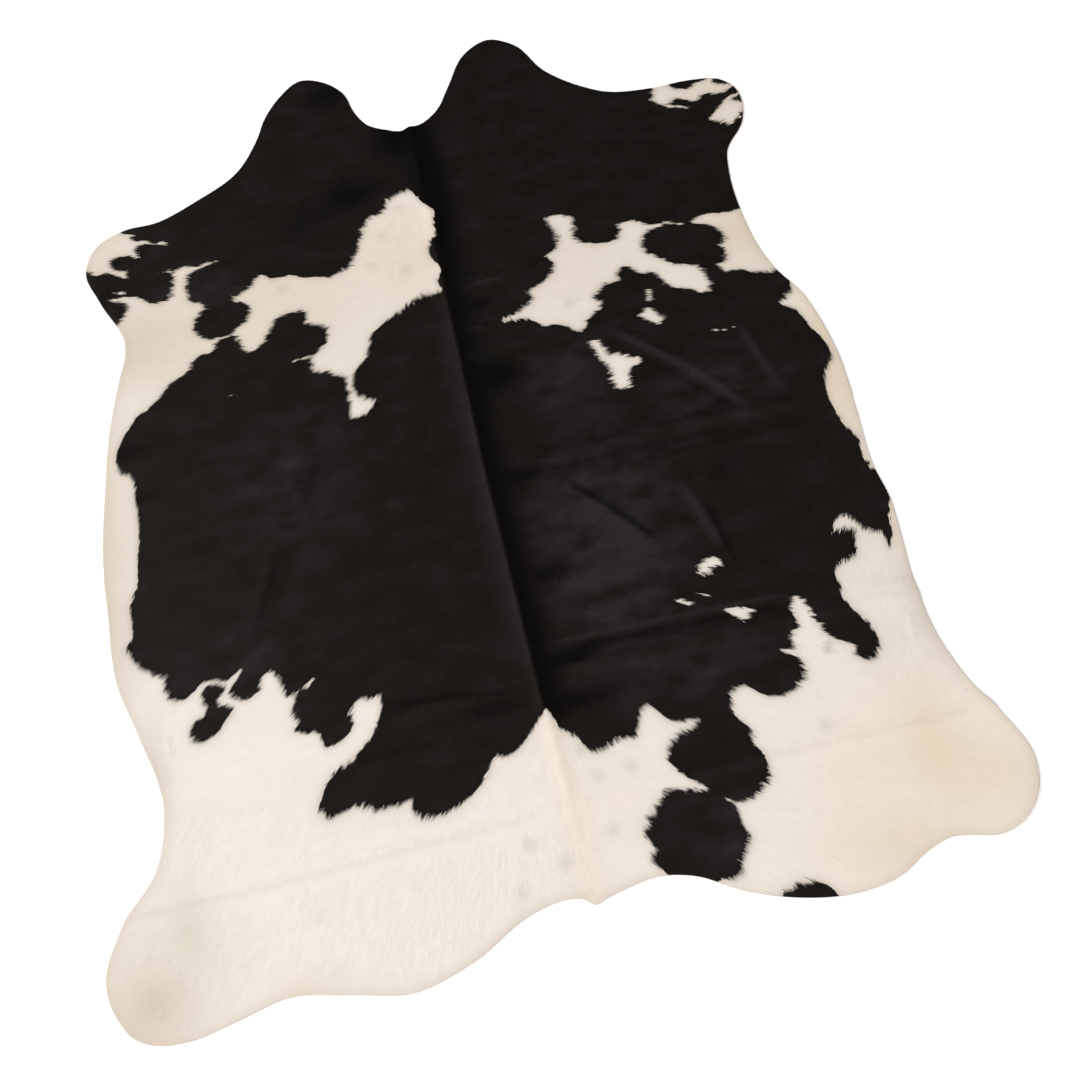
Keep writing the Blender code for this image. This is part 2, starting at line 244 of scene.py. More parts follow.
# The markings, laid over each other in this order on a white hide. Points past the cut
# edge only carry a marking out over it.
PATCHES = (
    Patch("black back, sides and neck", Hair.BLACK, (
        (-78.5, 136), (-82, 131.5), (-84.5, 126), (-84, 123), (-81.5, 120.5), (-81, 114),
        (-81, 107), (-82, 99.5), (-83, 92.5), (-85, 88), (-85, 84), (-85.5, 80), (-87, 78.5),
        (-86, 76.5), (-83.5, 72.5), (-80, 70), (-79, 69), (-79.5, 66.5), (-77.5, 63.5),
        (-75, 63.5), (-71, 66), (-68.5, 66), (-66, 65), (-62, 67), (-64, 64), (-65.5, 62.5),
        (-63.5, 60), (-59.5, 60.5), (-58, 63.5), (-57, 64.5), (-55.5, 64.5), (-54, 61.5),
        (-53, 58.5), (-51.5, 58), (-52.5, 54.5), (-51.5, 51.5), (-52.5, 50.5), (-50, 49),
        (-48, 48.5), (-46.5, 45), (-43, 45.5), (-40.5, 47.5), (-40, 51.5), (-38, 53.5),
        (-35, 53), (-33.5, 53.5), (-33.5, 50.5), (-36.5, 45), (-41.5, 41), (-46.5, 38.5),
        (-49, 35), (-50, 32.5), (-48.5, 30), (-45, 30.5), (-42, 31), (-39, 29.5), (-33.5, 29),
        (-30.5, 29.5), (-31, 28), (-29.5, 25.5), (-25, 25), (-20, 26.5), (-14.5, 30.5),
        (-12, 34), (-10, 33.5), (-5.5, 35.5), (-3, 38), (0.5, 40.5), (2.5, 36), (5, 34),
        (7.5, 30), (14, 31), (17, 31), (18.5, 34), (20.5, 36.5), (25, 32), (26.5, 31.5),
        (30.5, 31), (24.5, 28.5), (22.5, 26), (22.5, 24), (24.5, 20.5), (28.5, 16.5),
        (25, 17.5), (20, 18), (17, 15.5), (14, 11), (15, 8), (14, 6), (16.5, 2), (18, -2),
        (24, -5), (25.5, -1.5), (30, -1.5), (31.5, 2), (34, 5), (33, 8.5), (32.5, 12.5),
        (30.5, 14.5), (34, 12.5), (38, 13.5), (40.5, 15.5), (41, 21), (39.5, 24), (40, 25.5),
        (37.5, 30.5), (38.5, 34.5), (41, 35.5), (43.5, 33.5), (45.5, 32), (48, 31.5),
        (51.5, 32.5), (54, 35), (54, 37.5), (50.5, 41), (53.5, 40.5), (53, 43), (55.5, 45),
        (55.5, 49.5), (56.5, 51.5), (58.5, 49.5), (59, 46), (61.5, 40.5), (65, 38), (65, 36),
        (67.5, 34), (70, 36.5), (69.5, 41.5), (66, 49), (66.5, 52), (66, 53.5), (67.5, 56),
        (71.5, 57), (72.5, 60), (73, 61.5), (71.5, 63.5), (69, 63.5), (70, 66), (71.5, 66.5),
        (74, 64), (75, 62), (78, 61), (79, 57), (80, 59), (81, 63.5), (82.5, 67.5), (86, 69),
        (86, 74), (81.5, 75), (80, 79.5), (80.5, 83.5), (79, 86), (77.5, 92), (77.5, 97.5),
        (79, 101.5), (81, 104), (81, 107), (78.5, 114), (77, 118.5), (74, 121), (77.5, 123.5),
        (78, 126), (82, 127), (80, 131), (75.5, 130), (72.5, 130.5), (70, 131.5), (67, 133),
        (65, 133), (63.5, 135.5), (65.5, 136), (66, 138.5), (65.5, 140.5), (67, 142),
        (66.5, 144), (63.5, 147.5), (60.5, 148.5), (61.5, 149.5), (65, 150), (69, 149),
        (72.5, 149), (90, 150), (90, 235), (-110, 235), (-110, 136))),
    Patch("white left flank and blaze", Hair.WHITE, (
        (-81, 162.5), (-79, 164.5), (-77.5, 167.5), (-81.5, 171), (-78, 170.5), (-74, 169),
        (-72, 167), (-68.5, 166), (-66, 167.5), (-65.5, 170.5), (-64.5, 174.5), (-58.5, 173),
        (-61.5, 172), (-62.5, 168), (-61.5, 164), (-58.5, 162), (-61.5, 158), (-62, 155.5),
        (-58.5, 152), (-55, 151.5), (-51.5, 153), (-48, 155.5), (-47.5, 158), (-51, 161),
        (-46, 164), (-43.5, 166.5), (-41, 164.5), (-37, 164), (-30.5, 161.5), (-26, 160.5),
        (-22, 162), (-19.5, 165), (-17.5, 169), (-15, 174), (-10.5, 175.5), (-9, 178),
        (-3, 179), (-1, 175), (1.5, 171), (1, 168.5), (0.5, 164.5), (-1.5, 162), (-2, 159),
        (0, 154), (-1.5, 151), (-1.5, 148), (-5, 148.5), (-11, 146), (-17.5, 143), (-20, 141),
        (-21, 138), (-22, 135.5), (-25, 133), (-26.5, 128.5), (-25, 125), (-22, 123.5),
        (-24.5, 121), (-27.5, 120.5), (-27.5, 128), (-28, 132), (-31, 134), (-35, 137),
        (-34.5, 139.5), (-30.5, 143), (-30, 146.5), (-34.5, 149.5), (-34.5, 152.5),
        (-38.5, 153.5), (-42.5, 152), (-44.5, 148.5), (-49, 145.5), (-51, 147.5),
        (-51.5, 150.5), (-57, 150.5), (-58, 148.5), (-62, 148), (-65, 144.5), (-69.5, 142.5),
        (-73, 139), (-78.5, 136), (-110, 136), (-110, 162.5))),
    Patch("white right shoulder", Hair.WHITE, (
        (27.5, 160.5), (31.5, 160.5), (33.5, 158.5), (33, 153), (35.5, 150.5), (39.5, 149.5),
        (43, 150), (44, 153.5), (47.5, 153.5), (50, 151.5), (55.5, 150.5), (50, 149.5),
        (48, 148), (47.5, 145.5), (50, 142), (54.5, 138.5), (58.5, 136.5), (60, 133), (60, 130),
        (58.5, 129), (55.5, 131), (52, 132.5), (50, 135), (48.5, 138), (45, 139), (43, 141.5),
        (40.5, 141), (39.5, 138.5), (36.5, 138), (33.5, 136), (34.5, 133), (30.5, 130),
        (28.5, 127.5), (24.5, 130.5), (20.5, 131.5), (17, 134.5), (11, 135.5), (16.5, 137.5),
        (19.5, 140), (19, 141.5), (22, 143), (26, 146), (26.5, 148), (25, 150), (28, 151.5),
        (29, 154.5), (28, 158.5))),
    Patch("white spot, right rib", Hair.WHITE, (
        (29.7, 124.2), (31.4, 124), (32.3, 121.2), (33, 119.4), (35.3, 119), (36.5, 117.8),
        (39.6, 116.4), (37.7, 114.9), (36.3, 113.4), (36.1, 111.2), (34.7, 109.9), (33, 110.3),
        (32.4, 112.7), (32.3, 115.7), (31.5, 118), (30.6, 119.9), (30.1, 122))),
    Patch("white spot, right ribs front", Hair.WHITE, (
        (42.5, 127.6), (43.6, 128.2), (44.5, 129.3), (45.3, 128.6), (46.2, 127.2), (47, 124.7),
        (45.6, 124.4), (44.3, 125.5), (43.3, 126.7))),
    Patch("white spot, right hip", Hair.WHITE, (
        (40.9, 64.6), (43.8, 64.1), (43.8, 62.3), (41.9, 62.3), (40.4, 61.5), (39.4, 61),
        (38.8, 62.1), (39, 63.3))),
    Patch("white spot, right loin", Hair.WHITE, (
        (41.9, 52.4), (43.6, 52.5), (46, 51.7), (47.7, 50.7), (46.3, 50.4), (46.3, 49.5),
        (44.9, 49.1), (44, 50), (42.9, 50.9))),
    Patch("white left foreleg", Hair.WHITE, (
        (-77.5, 193), (-76.5, 189.5), (-74, 188.5), (-74.5, 187.5), (-70, 185), (-73, 184.5),
        (-74, 183.5), (-73, 181), (-75.5, 182.5), (-80.5, 182), (-80, 179.5), (-76.5, 177.5),
        (-77, 176), (-79.5, 177.5), (-82, 179), (-84.5, 179), (-87, 181.5), (-93, 182),
        (-93, 193))),
    Patch("white right foreleg, front", Hair.WHITE, (
        (62.5, 194), (62, 190), (61, 187), (63, 184.5), (65.5, 185.5), (68.5, 184.5), (71, 183),
        (73, 184.5), (77.5, 183.5), (81, 184.5), (86, 185), (86, 194))),
    Patch("white right foreleg, back", Hair.WHITE, (
        (86, 182.5), (81, 182), (77.5, 181), (76.5, 180), (73, 176.5), (75.5, 175), (77, 173.5),
        (79.5, 175), (81.5, 177), (86, 177.5))),
    Patch("black bar, right foreleg", Hair.BLACK, (
        (65.5, 190.5), (68, 188), (70.5, 187.5), (72, 188.5), (75.5, 189), (75, 194), (65, 194))),
    Patch("black spot, right foreleg", Hair.BLACK, (
        (77, 186.5), (79, 190), (84, 187), (80, 185.5), (78.5, 186))),
    Patch("black finger, right foreleg", Hair.BLACK, (
        (86, 181.5), (81.5, 181.5), (79, 180.5), (81.5, 179.5), (86, 179.5))),
    Patch("black spots, left stifle", Hair.BLACK, (
        (-71, 64.5), (-67.5, 65), (-66, 63.5), (-68.5, 61), (-65, 58.5), (-67, 56), (-70, 53.5),
        (-74.5, 53.5), (-75, 55.5), (-73.5, 58), (-71, 59), (-71.5, 62.5))),
    Patch("black spot, rump edge", Hair.BLACK, (
        (36.5, -7), (38, -6), (44.5, -6.3), (47, -9.5), (47, -14), (36, -14))),
)

STREAKS = (
    Streak("left shoulder", Hair.WHITE, (-34.5, 139.8), (-39.3, 139.9), 0.25),
    Streak("left elbow", Hair.WHITE, (-58.5, 151.3), (-50.5, 151.6), 0.4),
    Streak("right shoulder front", Hair.WHITE, (55, 150.3), (60, 148.4), 0.2),
    Streak("right shoulder back", Hair.WHITE, (46.5, 133.5), (44.7, 129.2), 0.4),
    Streak("right hip, small", Hair.WHITE, (33.2, 56.9), (35.4, 55.3), 0.45),
    Streak("right hip, smaller", Hair.WHITE, (37.6, 57.3), (39.6, 56.5), 0.15),
    Streak("left loin", Hair.WHITE, (-47, 60.3), (-51.5, 58), 0.3),
    Streak("left foreleg", Hair.WHITE, (-66.3, 183.3), (-68.3, 184), 0.55),
    Streak("left foreleg slit", Hair.WHITE, (-68.3, 184), (-71, 185), 0.2),
    Streak("left foreleg back", Hair.WHITE, (-78, 171.9), (-80.2, 172.6), 0.3),
    Streak("left forearm, back", Hair.WHITE, (-64.4, 174), (-68.4, 175.1), 0.25),
    Streak("left forearm, front", Hair.WHITE, (-60.5, 173.1), (-53.6, 173.9), 0.45),
    Streak("scratch, right flank, front", Hair.WHITE, (55.5, 120), (57.8, 118.5), 0.1),
    Streak("scratch, right flank, back", Hair.WHITE, (57.8, 118.5), (62.5, 118.2), 0.1),
    Streak("grey hairs, left shoulder", Hair.WHITE, (-52.2, 134.2), (-54.8, 134.9), 0.02),
    Streak("right foreleg", Hair.WHITE, (63.5, 184.4), (68, 182.2), 0.35),
)

# Small grey spots in the white, all alike.
TICK_REACH = 2.6
TICK_STRENGTH = 0.27
TICKS = ((-12.4, 168.4), (-16.4, 160.3), (-8.2, 156.8), (-38.6, 160.8), (-6.9, 175),
         (27.8, 136), (7.4, 24.5), (14.5, 25.1), (7.9, 13.3), (-9.1, 14.7), (-2.9, 9.5),
         (-12.4, 5.5), (54.7, 23.3), (5.3, 31))

# Only the painted sheen and the painted shade show on the black, and only the others on the
# white. Where two spots or bands of one kind overlap, each takes its share of what the
# others leave clean.
TINTS = {
    StainAndPaintedLight.TICK_AND_SHADE: (
        # The first spot is painted shade along the raised left belly edge, and the second is a
        # grey tick.
        Tint(-90, 95, 10, 55, 0.14), Tint(-53.3, 11.2, 2.4, 2.4, 0.12)),
    StainAndPaintedLight.STRAW: (
        Tint(-60, -1, 14, 6, 0.12), Tint(70, 10, 44, 36, 0.26), Tint(-6, 163, 17, 22, 0.24),
        Tint(12, 19, 16, 14, 0.14), Tint(74, 15, 9, 17, 0.34), Tint(83, 6, 13, 12, 0.25),
        Tint(60, -3, 26, 12, 0.22), Tint(-85, 153, 8, 12, 0.2), Tint(-89, 110, 6, 40, 0.08),
        Tint(-89, 75, 6, 25, 0.06), Tint(70, 143, 8, 10, 0.28), Tint(81, 111, 7, 20, 0.38),
        Tint(78.5, 95, 9, 21, 0.28), Tint(84, 68, 8, 22, 0.3)),
    StainAndPaintedLight.MOSS: (
        Tint(-80, 15, 7, 13, 0.22), Tint(-88.5, 3, 8, 7, 0.24), Tint(-88, 9, 28, 26, 0.16),
        Tint(-55, -1, 12, 5, 0.1), Tint(62, -4, 12, 6, 0.08)),
    # Creamier, darker white towards the front, the legs and the edges.
    StainAndPaintedLight.CREAM: (
        Tint(-45, 160, 70, 50, 1), Tint(30, 145, 50, 40, 0.7), Tint(75, 145, 30, 40, 1),
        Tint(-85, 182, 30, 25, 0.9), Tint(75, 184, 25, 20, 0.9), Tint(-90, 95, 14, 60, 0.6),
        Tint(-90, 5, 30, 26, 0.5), Tint(-74, 152, 26, 18, 0.8), Tint(-86, 115, 16, 40, 0.6),
        Tint(77, 48, 24, 36, 0.45), Tint(79, 97, 14, 26, 0.7)),
    # Greyer white in soft spots: painted shade on the foreleg fold, the edge wrinkles and the
    # raised belly and leg edges.
    StainAndPaintedLight.HALO: (
        Tint(-83, 50, 6, 18, 0.25), Tint(-94, 92, 7, 36, 0.24), Tint(-78, 157, 26, 18, 0.25),
        Tint(-88, -1, 17, 10, 0.16), Tint(-82, 34, 16, 22, 0.06), Tint(83, 44, 8, 20, 0.3)),
    StainAndPaintedLight.RIM: (
        Tint(-92, -1, 16, 14, 0.2), Tint(96, -2, 16, 15, 0.22)),
    # Painted sheen on the black, in broad soft spots.
    StainAndPaintedLight.PAINTED_SHEEN: (
        Tint(22, 74, 24, 34, 1), Tint(22, 116, 16, 16, 0.55), Tint(34, 100, 28, 16, 0.15),
        Tint(55, 104, 18, 16, 0.35), Tint(30, 41, 30, 11, 0.42), Tint(-62, 68, 26, 20, 0.25),
        Tint(-45, 108, 30, 26, 0.35), Tint(-58, 166, 20, 12, 0.3), Tint(30, 8, 16, 12, 0.4)),
    # Painted shade on the black, in dark soft spots.
    StainAndPaintedLight.PAINTED_SHADE: (
        Tint(1.5, 177, 10, 36, 0.98), Tint(-18, 183, 16, 9, 0.9), Tint(-31, 178, 10, 9, 0.6),
        Tint(-3, 197, 13, 13, 0.97), Tint(-18.5, 216, 10, 9, 0.8), Tint(-82, 127, 10, 5, 0.7),
        Tint(-79, 114, 8, 3, 0.6), Tint(-82, 172, 9, 6, 0.6), Tint(-30, 50, 14, 3, 0.4),
        Tint(7, 121.5, 11, 9, 0.97), Tint(8, 142, 7, 3, 0.7), Tint(7.5, 95, 10, 4, 0.9),
        Tint(8, 70.8, 9, 4, 0.85), Tint(8, 50.5, 12, 3.5, 0.95), Tint(9, 41, 15, 4, 0.9),
        Tint(-10.7, 43.6, 15, 3.5, 0.7), Tint(52, 86, 9, 9, 0.4)),
}

BANDS = {
    StainAndPaintedLight.STRAW: (
        Band(((0, 42), (0.6, 20), (1, -3)), 6, 7, 0.2, 6),),
    # Painted shade along the rump crease and the right loin crease, and a thin grey line by the
    # right hip's black.
    StainAndPaintedLight.HALO: (
        Band(((-98, 19.9), (-56, 19.2), (-4, 19.7)), 1.3, 1.3, 0.12, 8),
        Band(((33, 19.8), (86, 19.1)), 1.3, 1.3, 0.11, 5),
        Band(((70, 51), (86, 48)), 1.6, 1.6, 0.12, 4),
        Band(((61, 40.4), (59.8, 38.5), (58.3, 37.1)), 0.5, 0.5, 0.7, 1)),
    # Painted highlights on the lit side of the spine and of wrinkles, and a painted glint at the
    # withers.
    StainAndPaintedLight.PAINTED_SHEEN: (
        Band(((-1.2, 150), (-1.6, 100), (-1, 45)), 5.5, 1.5, 0.42, 16),
        Band(((-32, 114), (-39, 98), (-54.5, 70)), 3, 3, 0.2, 10),
        Band(((33, 127), (38.7, 122), (50, 110.5), (60.6, 96.2)), 1.7, 1.7, 0.9, 7),
        Band(((63.6, 119.5), (65.3, 109.7), (68.8, 97.9)), 1.6, 1.6, 0.7, 5),
        Band(((40, 85), (43, 75), (45.8, 65.1)), 2.4, 1.6, 0.8, 5),
        Band(((3, 54.9), (30, 53.8), (56, 52.4)), 0.8, 0.8, 0.5, 4),
        Band(((8, 46.5), (30, 45.4), (52, 44)), 1.6, 1.6, 0.4, 5),
        Band(((2.4, 148.1), (9, 147.9), (16.8, 147.2)), 0.6, 0.6, 0.9, 3),
        Band(((0.5, 136.4), (7.4, 135.3)), 0.7, 0.7, 0.9, 2),
        Band(((1, 130.4), (3, 127.2)), 0.6, 0.6, 1, 0.8)),
    # Painted shade along the right side of the spine and the dark sides of wrinkles and folds.
    StainAndPaintedLight.PAINTED_SHADE: (
        Band(((0.4, 206), (0.2, 155), (-0.4, 100), (0.2, 45), (1, 30)), 0.8, 10, 0.97, 14),
        Band(((-36, 116), (-44, 98)), 2.4, 2.4, 0.5, 8),
        Band(((-48.4, 95), (-60.5, 69)), 2.4, 2.4, 0.5, 10),
        Band(((14.6, 92.6), (24.5, 82), (33.6, 70)), 1.5, 2, 0.75, 6),
        Band(((31, 124.5), (48, 108.5), (57.5, 96.5)), 1.6, 1.6, 0.4, 7),
        Band(((44.1, 78.8), (47.3, 58.7)), 0.9, 2.4, 0.6, 5),
        Band(((4, 52.9), (30, 51.6), (54, 50.2)), 1.8, 1.8, 0.75, 4),
        Band(((18, 99.5), (40, 99), (62, 97.5)), 1.2, 1.2, 0.35, 6),
        Band(((12, 94.8), (36, 94.4), (58, 92.8)), 1.3, 1.3, 0.5, 6),
        Band(((-32.6, 50.6), (-2, 46.2)), 1.4, 1.4, 0.6, 5),
        Band(((-44.4, 40.2), (-19.4, 40)), 1.2, 1.2, 0.6, 6)),
}

LAYS = (
    Lay(0, 205, 90), Lay(-2, 182, 112), Lay(1, 172, 290), Lay(0, 158, 285), Lay(0, 130, 270),
    Lay(0, 90, 270), Lay(0, 50, 270), Lay(0, 10, 270), Lay(-30, 205, 125), Lay(-20, 168, 150),
    Lay(-45, 160, 160), Lay(-66, 170, 160), Lay(-82, 182, 165), Lay(-30, 140, 197),
    Lay(-60, 140, 185), Lay(-50, 100, 205), Lay(-84, 100, 248), Lay(-82, 118, 235),
    Lay(-14, 70, 235), Lay(-50, 55, 218), Lay(-64, 65, 212), Lay(-84, 82, 245),
    Lay(-78, 66, 215), Lay(-16, 32, 220), Lay(-26, 24, 240), Lay(-60, 15, 225),
    Lay(-92, 5, 225), Lay(28, 205, 60), Lay(40, 180, 15), Lay(30, 150, 350), Lay(60, 150, 345),
    Lay(66, 184, 335), Lay(78, 180, 20), Lay(33, 135, 350), Lay(60, 131, 345), Lay(36, 115, 0),
    Lay(60, 110, 340), Lay(78, 100, 285), Lay(79, 117, 295), Lay(81, 84, 275), Lay(50, 85, 338),
    Lay(14, 70, 310), Lay(40, 58, 338), Lay(60, 47, 342), Lay(79, 60, 255), Lay(72, 50, 262),
    Lay(74, 66, 235), Lay(84, 48, 262), Lay(16, 14, 318), Lay(15, 5, 305), Lay(40, 15, 320),
    Lay(65, 10, 318), Lay(88, 5, 320),
)


def linear(value: str) -> Colour:
    """Turn an sRGB hex colour to linear light.

    Args:
        value: the colour as #RRGGBB.

    Returns:
        Red, green, blue and a full alpha.
    """
    parts = [int(value[start:start + 2], 16) / 255 for start in (1, 3, 5)]
    red, green, blue = (part / 12.92 if part <= 0.04045 else ((part + 0.055) / 1.055) ** 2.4
                        for part in parts)
    return (red, green, blue, 1.0)


def add_node(tree: Tree, kind: str, inputs: dict | None = None,
             **settings: Any) -> bpy.types.Node:
    """Add a node with its settings, values and links.

    Args:
        tree: the tree that it goes in.
        kind: Blender's name for the node.
        inputs: a value, or the socket to link from, by each input's name or number.
        settings: the node's own properties.

    Returns:
        The new node.
    """
    node = tree.nodes.new(kind)
    for name, value in settings.items():
        setattr(node, name, value)
    for key, value in (inputs or {}).items():
        if isinstance(value, Socket):
            tree.links.new(value, node.inputs[key])
        else:
            node.inputs[key].default_value = value
    return node


def new_material(name: str) -> tuple[bpy.types.Material, Tree, bpy.types.Node]:
    """Make an empty material.

    Args:
        name: what it is called.

    Returns:
        The material, its node tree and its Principled BSDF.
    """
    material = bpy.data.materials.new(name)
    material.use_nodes = True
    return material, material.node_tree, material.node_tree.nodes["Principled BSDF"]


def with_stains_and_painted_light(tree: Tree, colour: Colour | Socket,
            stains_and_painted_light: Iterable[tuple[StainAndPaintedLight, str]]) -> Socket:
    """Mix staining and painted sheen or shade over a colour, each by the attribute that holds its
    strength.

    Args:
        tree: the material's node tree.
        colour: the clean colour, or the socket that gives it.
        stains_and_painted_light: each kind of staining or painted sheen or shade in order, with
            its own colour.

    Returns:
        The socket that gives the colour with them mixed over it.
    """
    for kind, stain_or_painted_light in stains_and_painted_light:
        strength = add_node(tree, "ShaderNodeAttribute", attribute_name=kind.value)
        colour = add_node(tree, "ShaderNodeMix",
                          {"Factor": strength.outputs["Fac"], MIX_A: colour,
                           MIX_B: linear(stain_or_painted_light)}, data_type="RGBA").outputs[MIX_OUT]
    return colour


def two_tone(tree: Tree, place: Socket, size: float, detail: float,
             light: str, dark: str) -> Socket:
    """Mottle one colour with another.

    Args:
        tree: the material's node tree.
        place: the socket with the place on the hide.
        size: about how wide a mottle is.
        detail: how many finer layers it has.
        light: the colour in hex.
        dark: the other colour in hex.

    Returns:
        The socket that gives the mixed colour.
    """
    mottle = add_node(tree, "ShaderNodeTexNoise",
                      {"Vector": place, "Scale": 1 / size, "Detail": detail})
    return add_node(tree, "ShaderNodeMix",
                    {"Factor": mottle.outputs[0], MIX_A: linear(light), MIX_B: linear(dark)},
                    data_type="RGBA").outputs[MIX_OUT]


def soft_step(share: np.ndarray) -> np.ndarray:
    """Turn an even rise from 0 to 1 to a smooth one."""
    return 0.5 - 0.5 * np.cos(pi * np.clip(share, 0.0, 1.0))


def to_origin(points: Iterable[Point]) -> np.ndarray:
    """Turn points in centimetres from the spine and the tail to metres from the origin."""
    return (np.array(list(points), float) - (ORIGIN_ACROSS, ORIGIN_ALONG)) * CM


def fade_out(places: np.ndarray, middle: Point, reach: Point) -> np.ndarray:
    """Work out a round soft-edged spot.

    Args:
        places: where to work it out, in metres from the origin.
        middle: its middle, in centimetres from the spine and the tail.
        reach: how far it reaches across and along, in metres.

    Returns:
        1 at the middle, falling to 0 at its reach.
    """
    away = (places - to_origin([middle])[0]) / reach
    return soft_step(1.0 - np.linalg.norm(away, axis=1))


def smooth_ring(points: np.ndarray, step: float) -> np.ndarray:
    """Lay a smooth closed curve through points.

    Args:
        points: the points that it passes through, in order.
        step: about how far apart the returned points lie.

    Returns:
        Points along the curve, with those that came in among them.
    """
    after = np.roll(points, -1, 0)
    gaps = np.linalg.norm(after - points, axis=1)
    runs = (after - points) / gaps[:, None]
    gaps_before, runs_before = np.roll(gaps, 1), np.roll(runs, 1, 0)
    slopes = runs_before * gaps[:, None] + runs * gaps_before[:, None]
    slopes = slopes / (gaps + gaps_before)[:, None]
    pieces = []
    for index, gap in enumerate(gaps):
        other = (index + 1) % len(points)
        count = max(1, round(gap / step))
        t = np.arange(count)[:, None] / count
        pieces.append((2 * t**3 - 3 * t**2 + 1) * points[index]
                      + (3 * t**2 - 2 * t**3) * points[other]
                      + gap * (t**3 - 2 * t**2 + t) * slopes[index]
                      + gap * (t**3 - t**2) * slopes[other])
    return np.concatenate(pieces)


class ByAlong:
    """Places sorted by how far along the hide they are, to look up those near a run."""

    def __init__(self, places: np.ndarray) -> None:
        """Sort the places.

        Args:
            places: how far each is across and along, in metres from the origin.
        """
        self.places = places
        self.order = np.argsort(places[:, 1])
        self.along = places[self.order, 1]

    def between(self, start: np.ndarray, end: np.ndarray, reach: float) -> np.ndarray:
        """Find the places about a straight run.

        Args:
            start: where the run starts.
            end: where it ends.
            reach: how far from its box a place may be.

        Returns:
            The places' numbers.
        """
        low, high = np.minimum(start, end) - reach, np.maximum(start, end) + reach
        first, last = np.searchsorted(self.along, (low[1], high[1]))
        some = self.order[first:last]
        across = self.places[some, 0]
        return some[(across > low[0]) & (across < high[0])]


def to_line(places: ByAlong, line: np.ndarray, reach: float) -> tuple[np.ndarray, np.ndarray]:
    """Measure from places to a line of straight runs.

    Args:
        places: the places to measure from.
        line: the line's points, in order.
        reach: the most that is measured. It stands for all that is further away.

    Returns:
        The distance to the line, and how far along it the nearest point is.
    """
    nearest = np.full(len(places.places), reach)
    at = np.zeros(len(places.places))
    passed = 0.0
    for start, end in zip(line[:-1], line[1:]):
        run = end - start
        length = float(np.hypot(*run))
        some = places.between(start, end, reach)
        away = places.places[some] - start
        share = np.clip(away @ run / length**2, 0.0, 1.0)
        gap = np.linalg.norm(away - share[:, None] * run, axis=1)
        closer = gap < nearest[some]
        nearest[some[closer]] = gap[closer]
        at[some[closer]] = passed + share[closer] * length
        passed += length
    return nearest, at


def within(places: ByAlong, ring: np.ndarray) -> np.ndarray:
    """Say which places lie inside a closed ring.

    Args:
        places: the places to test.
        ring: the ring's points, in order.

    Returns:
        True for each place inside.
    """
    inside = np.zeros(len(places.places), bool)
    for start, end in zip(ring, np.roll(ring, -1, 0)):
        first, last = np.searchsorted(places.along, sorted((start[1], end[1])))
        some = places.order[first:last]
        if len(some):
            x, y = places.places[some].T
            lean = (y - start[1]) * (end[0] - start[0]) / (end[1] - start[1])
            inside[some] ^= x < start[0] + lean
    return inside


@dataclass
class Relief:
    """How the hide lies on the floor: its folds, wrinkles and waved edges.

    A fold is a narrow crest on a wider slope, and each has its share of the rise.
    """

    folds: Sequence[Fold] = FOLDS
    waves: Sequence[Wave] = WAVES
    touches_floor: float = 0.1 * MM
    crest_share: float = 0.28
    crest_width: float = 0.5

    def fold_height(self, fold: Fold, places: ByAlong) -> np.ndarray:
        """Work out one fold's height.

        Args:
            fold: the fold.
            places: where to work it out.

        Returns:
            Its height over the floor at each place.
        """
        line = to_origin(fold.line)
        half_width = fold.half_width * CM
        gap, at = to_line(places, line, half_width)
        length = float(np.linalg.norm(np.diff(line, axis=0), axis=1).sum())
        step = np.clip(at / length, 0.0, 1.0) * (len(fold.rises) - 1)
        before = np.minimum(step.astype(int), len(fold.rises) - 2)
        rises = np.array(fold.rises) * MM
        rise = rises[before] + (rises[before + 1] - rises[before]) * soft_step(step - before)
        if fold.fade_start:
            rise = rise * soft_step(at / (fold.fade_start * CM))
        if fold.fade_end:
            rise = rise * soft_step((length - at) / (fold.fade_end * CM))
        crest = soft_step(1.0 - gap / (self.crest_width * half_width))
        slope = soft_step(1.0 - gap / half_width)
        return rise * (self.crest_share * crest + (1.0 - self.crest_share) * slope)

    def height(self, places: ByAlong) -> np.ndarray:
        """Work out how far the skin side stands off the floor.

        Args:
            places: where to work it out.

        Returns:
            The height at each place.
        """
        squares = np.zeros(len(places.places))
        for fold in self.folds:
            squares += self.fold_height(fold, places) ** 2
        for wave in self.waves:
            reach = (wave.reach_across * CM, wave.reach_along * CM)
            hill = fade_out(places.places, (wave.across, wave.along), reach)
            squares += (wave.rise * MM * hill) ** 2
        total = np.sqrt(squares)
        return np.where(total > self.touches_floor, total, 0.0)

    def bend(self, places: ByAlong) -> np.ndarray:
        """Say how near a fold's crest places are, where hair lies in shorter runs.

        Args:
            places: the places to test.

        Returns:
            1 on a crest, falling to 0 off the fold.
        """
        bend = np.zeros(len(places.places))
        for fold in self.folds:
            reach = fold.half_width * CM
            gap = to_line(places, to_origin(fold.line), reach)[0]
            bend = np.maximum(bend, soft_step(1.0 - gap / reach))
        return bend

    def on_fold(self, places: ByAlong, share: float = 1.0) -> np.ndarray:
        """Say which places lie on a fold's slopes.

        Args:
            places: the places to test.
            share: how much of the fold's width counts, from its crest out.

        Returns:
            True for each place on one.
        """
        on = np.zeros(len(places.places), bool)
        for fold in self.folds:
            reach = share * fold.half_width * CM
            on |= to_line(places, to_origin(fold.line), reach)[0] < reach
        return on


